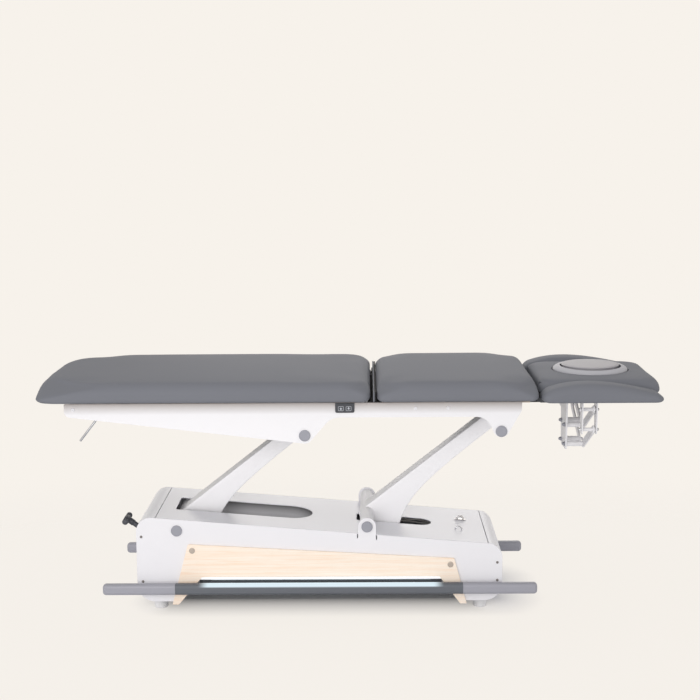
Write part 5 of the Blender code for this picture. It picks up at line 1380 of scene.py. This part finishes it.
def foot_bar(side, sign):
    """Control bar: light painted ends, a dark sleeve between them, and two arms to its pins."""
    y, half_d, half_h, z = sign * 0.237, 0.015, 0.0185, 0.0975
    x0, x1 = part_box(f"foot_bar_{side}")[0].x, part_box(f"foot_bar_{side}")[1].x
    body = f"foot_bar_{side}"

    def section(inset):
        return box_outline(y - half_d + inset, y + half_d - inset, z - half_h + inset, z + half_h - inset,
                           max(0.011 - inset, 0.003))

    def length(name, stations):
        return lofted(name, [[(x, p.x, p.y) for p in section(inset)] for x, inset in stations])

    nose = [(0.0, 0.0095), (0.0007, 0.0070), (0.0020, 0.0046), (0.0040, 0.0025), (0.0066, 0.0010),
            (0.0100, 0.0)]
    seam = 0.0006
    foot, head = BAR_SPLIT
    foot_end = [(x0 + d, i) for d, i in nose] + [(foot - seam, 0), (foot, seam)]
    head_end = [(head, seam), (head + seam, 0)] + [(x1 - d, i) for d, i in nose[::-1]]
    ends = [length("bar_end", stations) for stations in (foot_end, head_end)]
    dressed(gathered(f"bar_ends_{side}", *ends), "bar_light", body)
    sleeve = length("bar_sleeve", [(foot, seam), (foot + seam, 0), (head - seam, 0), (head, seam)])
    pivot = PIVOTS[f"foot_bar_{side}_press"].yz
    arm = stadium(pivot, Vector((sign * 0.2295, pivot.y)), 0.008)
    arms = []
    for x in BAR_ARM_X:
        arms.append(plate("bar_arm", arm, "x", x + CLEARANCE, x + 0.0083, [(pivot, PIN_BORE)], 0.0005))
    # the sleeve's finish carries the painted glow along its top
    dressed(gathered(f"bar_sleeve_{side}", sleeve, *arms), "bar_dark", body, f"foot_bar_{side}")


def castor_lever():
    """Tee-handled lever with rubber grips, its cross shaft and the wheel arms."""
    pivot = PIVOTS["castor_lever_press"].xz
    wheel = PIVOTS["castor_wheels_spin"].xz
    tee = pivot + LEVER_LENGTH * Vector((-cos(LEVER_LEAN), sin(LEVER_LEAN)))
    along = (tee - pivot).normalized()
    collar = tee - along * 0.030
    pieces = [rod("shaft", (pivot.x, -INNER_HALF, pivot.y), (pivot.x, INNER_HALF, pivot.y), 0.008),
              rod("stem", (pivot.x, 0, pivot.y), (tee.x, 0, tee.y), 0.0090),
              rod("collar", (collar.x, 0, collar.y), (tee.x, 0, tee.y), 0.0108, dome=0.3)]
    for _, sign in SIDES:
        ys = on_side(sign, 0.063, 0.069)
        arm = stadium(pivot, wheel, 0.011)
        pieces.append(plate("wheel_arm", arm, "y", ys[0], ys[1], [(wheel, PIN_BORE)], 0.0006))
    dressed(gathered("castor_lever_stem", *pieces), "dark", "castor_lever", "castor_lever")
    half = 0.050
    nose = [(0.0, 0.0040), (0.0005, 0.0068), (0.0022, 0.0092), (0.0055, 0.0105), (0.0090, 0.0105),
            (0.0120, 0.0097)]
    neck = [(0.014, 0.0097), (0.011, 0.0110)]
    grip = [(-half + d, r) for d, r in nose] + [(-d, r) for d, r in neck]
    grip += [(d, r) for d, r in neck[::-1]] + [(half - d, r) for d, r in nose[::-1]]
    dressed(lathe("castor_lever_grip", grip, "y", tee, 40), "handle", "castor_lever")
    rib = [(-0.0009, 0.0093), (-0.0009, 0.0100), (0.0, 0.0104), (0.0009, 0.0100), (0.0009, 0.0093)]
    ring = lathe("grip_rib", rib, "y", (0, 0), 24, ring=True)
    for name, start in (("near", -0.0370), ("far", 0.0160)):
        row = ROW.make(f"castor_grip_ribs_{name}", points_object("grip_start", [(0, 0, 0)]), {
            "Fitting": ring, "Start": (tee.x, start, tee.y), "Step": (0, 0.0035, 0), "Count": 7,
            "Finish": FINISHES["handle"].material})
        dressed(row, "handle", "castor_lever")
    bpy.data.objects.remove(ring)


def castor_wheels():
    """Transport wheels: rubber tyres on dished hubs, on one axle."""
    centre = PIVOTS["castor_wheels_spin"].xz
    y0, y1, radius = 0.072, 0.096, 0.032
    tread = [(0.001, 0.021), (0.0, 0.0225), (0.0, 0.0285), (0.0015, 0.0306), (0.0045, radius)]
    dish = [(0.004, 0.0049), (0.004, 0.0085), (0.006, 0.0180), (0.0012, 0.0205), (0.0012, 0.0212)]

    def turned(name, half, sign):
        profile = [(y0 + d, r) for d, r in half] + [(y1 - d, r) for d, r in half[::-1]]
        return lathe(name, [(sign * h, r) for h, r in profile], "y", centre, 56, ring=True)

    tip = y1 - 0.002
    hubs = [rod("axle", (centre.x, -tip, centre.y), (centre.x, tip, centre.y), 0.005)]
    tyres = []
    for _, sign in SIDES:
        tyres.append(turned("tyre", tread, sign))
        hubs.append(turned("hub", dish, sign))
    dressed(gathered("castor_tyres", *tyres), "tyre", "castor_wheels", "castor_wheels")
    dressed(gathered("castor_hubs", *hubs), "dark", "castor_wheels")


def release_lever():
    """Hand rod under the leg section, with its hub and a rounded tip."""
    pivot = PIVOTS["release_pull"].xz
    low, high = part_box("release_lever")
    middle = (low.y + high.y) / 2
    lean = radians(232)
    ray = Vector((cos(lean), sin(lean)))
    hub = tube("release_hub", "y", pivot, low.y, high.y, 0.011, PIN_BORE)
    start, end = pivot + ray * 0.0095, pivot + ray * 0.151
    bar = rod("release_bar", (start.x, middle, start.y), (end.x, middle, end.y), 0.004, steps=24, dome=0.5)
    dressed(gathered("release_rod", hub, bar), "steel", "release_lever", "release_lever")


LOOPS = {"near": (LOWER_HEAD.x + 0.3135, -0.070), "far": (LOWER_HEAD.x + 0.3275, 0.060)}


def hoop(x, y, radius, height, lift, steps):
    """Points of an upright half ring on the sloping top sheet."""
    points = []
    for k in range(steps + 1):
        turn = pi * k / steps
        along = x - radius * cos(turn)
        points.append((along, y, top_of_base(along) + lift + height * sin(turn)))
    return points


def cable_loops():
    """Wire loops on the top sheet."""
    radius = 0.011
    for name, (x, y) in LOOPS.items():
        points = hoop(x, y, radius, radius, 0.0009, 28)
        dressed(wire(f"wire_loop_{name}", points, 0.0022), "steel", "base", f"cable_loop_{name}")


def cable_clasp():
    """Bright clasp round the far wire loop."""
    x, y = LOOPS["far"]
    corners = ((-0.020, 0.0003), (0.020, 0.0003), (0.020, 0.0030), (-0.020, 0.0030))
    tilted = [Vector((x + a, top_of_base(x + a) + b)) for a, b in corners]
    bands = [eased(extruded("clasp_foot", tilted, "y", y - 0.008, y + 0.008), 0.0010)]
    for shift, radius in ((-0.006, 0.0140), (0.006, 0.0115)):
        points = hoop(x + shift * 0.4, y + shift, radius, radius * 0.95, 0.0015, 20)
        bands.append(wire("clasp_band", points, 0.0019))
    dressed(gathered("cable_clasp", *bands), "chrome", "base")


def linkage_nuts():
    """Domed nuts on the ends of the armrest linkage's pins."""
    nut = dome_nut()
    hanger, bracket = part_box("armrest_hanger"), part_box("armrest_bracket_left")
    seat, small = 0.004, 0.85
    levels = (PIVOTS["armrest_left_lower"].z, PIVOTS["armrest_left_swing"].z)
    reach = abs(PIVOTS["armrest_left_swing"].y)
    places = [(hanger[0].x + 0.022, sign * reach, z) for _, sign in SIDES for z in levels]
    fitted("hanger_nuts", nut, places, "-x", "cap", "head_section")
    behind = [(hanger[1].x - seat, y, z) for _, y, z in places]
    fitted("hanger_pin_nuts", nut, behind, "x", "cap", "head_section", small)
    spacing = levels[1] - levels[0]
    for side, _ in SIDES:
        top = PIVOTS[f"armrest_{side}_level"]
        ends = [(top.y, top.z), (top.y, top.z - spacing)]
        for face, x, facing in (("front", bracket[0].x + seat, "-x"), ("back", bracket[1].x - seat, "x")):
            fitted(f"bracket_nuts_{face}_{side}", nut, [(x, y, z) for y, z in ends], facing, "steel",
                   f"armrest_{side}", small)
    bpy.data.objects.remove(nut)


def slot_cables():
    """Cables that run beside the head slot, inside the base."""
    start, length, waviness = SLOT_HEAD[1] - 0.150, 0.180, 11
    rows = []
    for lane, depth, swing, phase in ((0.0500, 0.0075, 0.0030, 0.0), (0.0550, 0.0130, 0.0040, 1.7),
                                      (0.0500, 0.0180, 0.0020, 3.1)):
        points = []
        steps = 28
        for k in range(steps + 1):
            x = start + length * k / steps
            wave = waviness * k / steps + phase
            points.append((x, lane + 0.3 * swing * cos(wave), top_of_base(x) - depth + swing * sin(wave)))
        rows.append(wire("slot_cable", points, 0.0018))
    dressed(gathered("slot_cables", *rows), "cable", "base")


def inlet_pins():
    """Three contacts in the mains inlet."""
    low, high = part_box("mains_inlet")
    middle = (low + high) / 2
    half_wide, half_tall = 0.0011, 0.0022
    pins = []
    for dy, dz in ((-0.006, -0.002), (0.006, -0.002), (0.0, 0.003)):
        y, z = middle.y + dy, middle.z + dz
        outline = box_outline(y - half_wide, y + half_wide, z - half_tall, z + half_tall, 0.0003)
        pins.append(extruded("inlet_pin", outline, "x", middle.x - 0.0002, high.x - 0.0004))
    dressed(gathered("inlet_pins", *pins), "steel", "base")


def plain_nodes():
    """Finishes of the nodes that stay as they are."""
    finishes = {
        # inner: dark paint as painted shade on parts deep in shade
        "inner": ("base_tray", "frame_cross_head", "head_hinge_arm_left", "head_hinge_arm_right"),
        "white": ("frame_cross_foot", "frame_cross_mid"),
        "link": ("armrest_hanger", "upper_link_left", "upper_link_right", "lower_link_left",
                 "lower_link_right", "armrest_bracket_left", "armrest_bracket_right"),
        "motor": ("actuator_body",),
        "dark": ("control_box", "mains_inlet", "gas_spring_tube"),
        "steel": ("actuator_rod", "gas_spring_rod", "leg_hinge_arm_left", "leg_hinge_arm_right"),
        "ply": ("leg_board", "mid_board", "head_board"),
    }
    for finish, names in finishes.items():
        for name in names:
            mesh = NODES[name].data
            mesh.materials.clear()
            mesh.materials.append(FINISHES[finish].material)


# Setting

BACKDROP = tone(247, 242, 235)


def photo_camera():
    """Camera at the photograph's viewpoint."""
    scene = bpy.context.scene
    yaw, pitch, roll = radians(0.70), radians(8.74), radians(0.45)
    right = Vector((cos(yaw), sin(yaw), 0))
    ahead = Vector((-sin(yaw) * cos(pitch), cos(yaw) * cos(pitch), -sin(pitch)))
    down = ahead.cross(right)
    level = cos(roll) * right + sin(roll) * down
    down = cos(roll) * down - sin(roll) * right
    turned = Matrix((level, -down, -ahead)).transposed().to_4x4()
    camera_data = bpy.data.cameras.new("photo_camera")
    camera_data.sensor_width = 36.0
    camera_data.lens = 70.25
    camera = bpy.data.objects.new("photo_camera", camera_data)
    camera.matrix_world = Matrix.Translation((0.0562, -4.6107, 1.5726)) @ turned
    scene.collection.objects.link(camera)
    scene.camera = camera


def studio_world():
    """Soft light from all round, which the camera and reflections see as the plain backdrop."""
    world = bpy.data.worlds.new("studio_world")
    bpy.context.scene.world = world
    world.use_nodes = True
    tree = world.node_tree
    tree.nodes.clear()
    path = tree.nodes.new("ShaderNodeLightPath")
    camera, glossy, through = (Socket(tree, path.outputs[f"Is {kind} Ray"])
                               for kind in ("Camera", "Glossy", "Transmission"))
    seen = camera + glossy + through
    shown = tree.nodes.new("ShaderNodeBackground")
    shown.inputs["Color"].default_value = BACKDROP
    soft = tree.nodes.new("ShaderNodeBackground")
    soft.inputs["Color"].default_value = (1.0, 0.992, 1.0, 1)
    soft.inputs["Strength"].default_value = 0.645
    mixed = tree.nodes.new("ShaderNodeMixShader")
    out = tree.nodes.new("ShaderNodeOutputWorld")
    for source, socket in ((seen.output, mixed.inputs[0]), (soft.outputs[0], mixed.inputs[1]),
                           (shown.outputs[0], mixed.inputs[2]), (mixed.outputs[0], out.inputs[0])):
        tree.links.new(source, socket)


def studio_lights():
    """Weak softbox overhead, a large key in front and a small fill behind."""
    warm, clean = (1.0, 0.98, 0.97), (1.0, 0.985, 0.995)
    for name, place, aim, size, power, colour in (
            ("overhead_softbox", (-0.9, -0.3, 3.6), (0.0, 0.0, 0.4), 3.2, 3.5, warm),
            ("front_key", (-1.4, -5.5, 1.7), (0.0, 0.0, 0.4), 3.6, 140.0, clean),
            ("back_fill", (0.2, 3.4, 1.7), (0.0, 0.0, 0.3), 2.6, 17.0, warm)):
        light_data = bpy.data.lights.new(name, "AREA")
        light_data.color = colour
        light_data.shape = "SQUARE"
        light_data.size = size
        light_data.energy = power
        light = bpy.data.objects.new(name, light_data)
        light.location = place
        light.rotation_euler = (Vector(aim) - Vector(place)).to_track_quat("-Z", "Y").to_euler()
        bpy.context.scene.collection.objects.link(light)


def studio_floor():
    """Paper that shows its own shadow under the base and glows in the backdrop's colour away from it."""
    floor = extruded("studio_floor", circle(Vector((0, 0)), 6.0, WIDE_STEPS), "z", -0.02, 0.0)
    finish = Finish("studio_floor_paint")
    finish.tree.nodes.remove(finish.shader)
    paper, glow_share, fall_off = (0.90, 0.90, 0.91, 1), 0.93, 0.72
    speck = finish.noise(60.0, 2.0)
    flat = finish.node("ShaderNodeBsdfDiffuse", None, {
        "Color": finish.blended(speck, shaded(paper, 0.995), shaded(paper, 1.005))})
    plain = finish.node("ShaderNodeEmission", None, {"Color": BACKDROP})
    viewed = finish.node("ShaderNodeLightPath", output="Is Camera Ray")
    shift, half, steepness = (0.05, -0.05, 0.0), (0.55, 0.103, 0.0), (6.0, 5.2, 0.0)
    away = finish.place
    for operation, amount in (("ADD", shift), ("ABSOLUTE", None), ("SUBTRACT", half),
                              ("MAXIMUM", (0.0, 0.0, 0.0)), ("MULTIPLY", steepness)):
        values = {0: away} if amount is None else {0: away, 1: amount}
        away = finish.node("ShaderNodeVectorMath", {"operation": operation}, values)
    away = finish.node("ShaderNodeVectorMath", {"operation": "LENGTH"}, {0: away}, "Value")
    share = viewed * finish.ranged(away, 0.0, 1.0) ** fall_off * glow_share
    flat = finish.node("ShaderNodeMixShader", None, {0: share, 1: flat, 2: plain})
    apart = finish.node("ShaderNodeVectorMath", {"operation": "LENGTH"},
                        {0: finish.stretched(0.45, 0.8, 1.0)}, "Value")
    fade = finish.ranged(apart, 0.7, 1.6, smooth=True)
    clear = finish.node("ShaderNodeBsdfTransparent")
    surface = finish.node("ShaderNodeMixShader", None, {0: fade, 1: flat, 2: clear})
    finish.tree.links.new(surface.output, finish.tree.nodes["Material Output"].inputs["Surface"])
    floor.data.materials.append(finish.material)


def studio():
    bpy.context.scene.view_settings.view_transform = "Standard"
    photo_camera()
    studio_world()
    studio_lights()
    studio_floor()


def build():
    leg_cushion()
    middle_cushion()
    head_cushion()
    for side, sign in SIDES:
        arm_cushion(side, sign)
    face_opening()
    board_lining("leg_board", "leg_section")
    board_lining("mid_board", "top_frame")
    board_lining("head_board", "head_section", hole=0.112)
    gap_shade_strips()
    base_walls()
    base_cover()
    slot_lip()
    floor_feet()
    light_strips()
    cap_shaft("lower_foot_shaft", LOWER_FOOT, BASE_HALF, "base", "pivot_shaft_foot")
    cap_shaft("lower_head_shaft", LOWER_HEAD, BASE_HALF, "base", "pivot_shaft_head")
    lift_arm("foot_arm", LOWER_FOOT, width=0.100, crank=False, node="lift_arm_foot")
    lift_arm("head_arm", LOWER_HEAD, width=0.075, crank=True, node="lift_arm_head")
    top_frame()
    control_tag()
    for side, sign in SIDES:
        foot_bar(side, sign)
    castor_lever()
    castor_wheels()
    release_lever()
    cable_loops()
    cable_clasp()
    linkage_nuts()
    slot_cables()
    inlet_pins()
    screw = screw_head()
    for side, sign in SIDES:
        facing = "-y" if sign < 0 else "y"
        on_base = [(x, sign * BASE_HALF, z) for x, z in END_SCREWS]
        on_frame = [(x, sign * FRAME_HALF, z) for x, z in FRAME_SCREWS]
        fitted(f"cover_screws_{side}", screw, on_base, facing, "screw", "base")
        fitted(f"frame_screws_{side}", screw, on_frame, facing, "white", "top_frame", size=1.3)
    bpy.data.objects.remove(screw)
    plain_nodes()
    studio()


build()
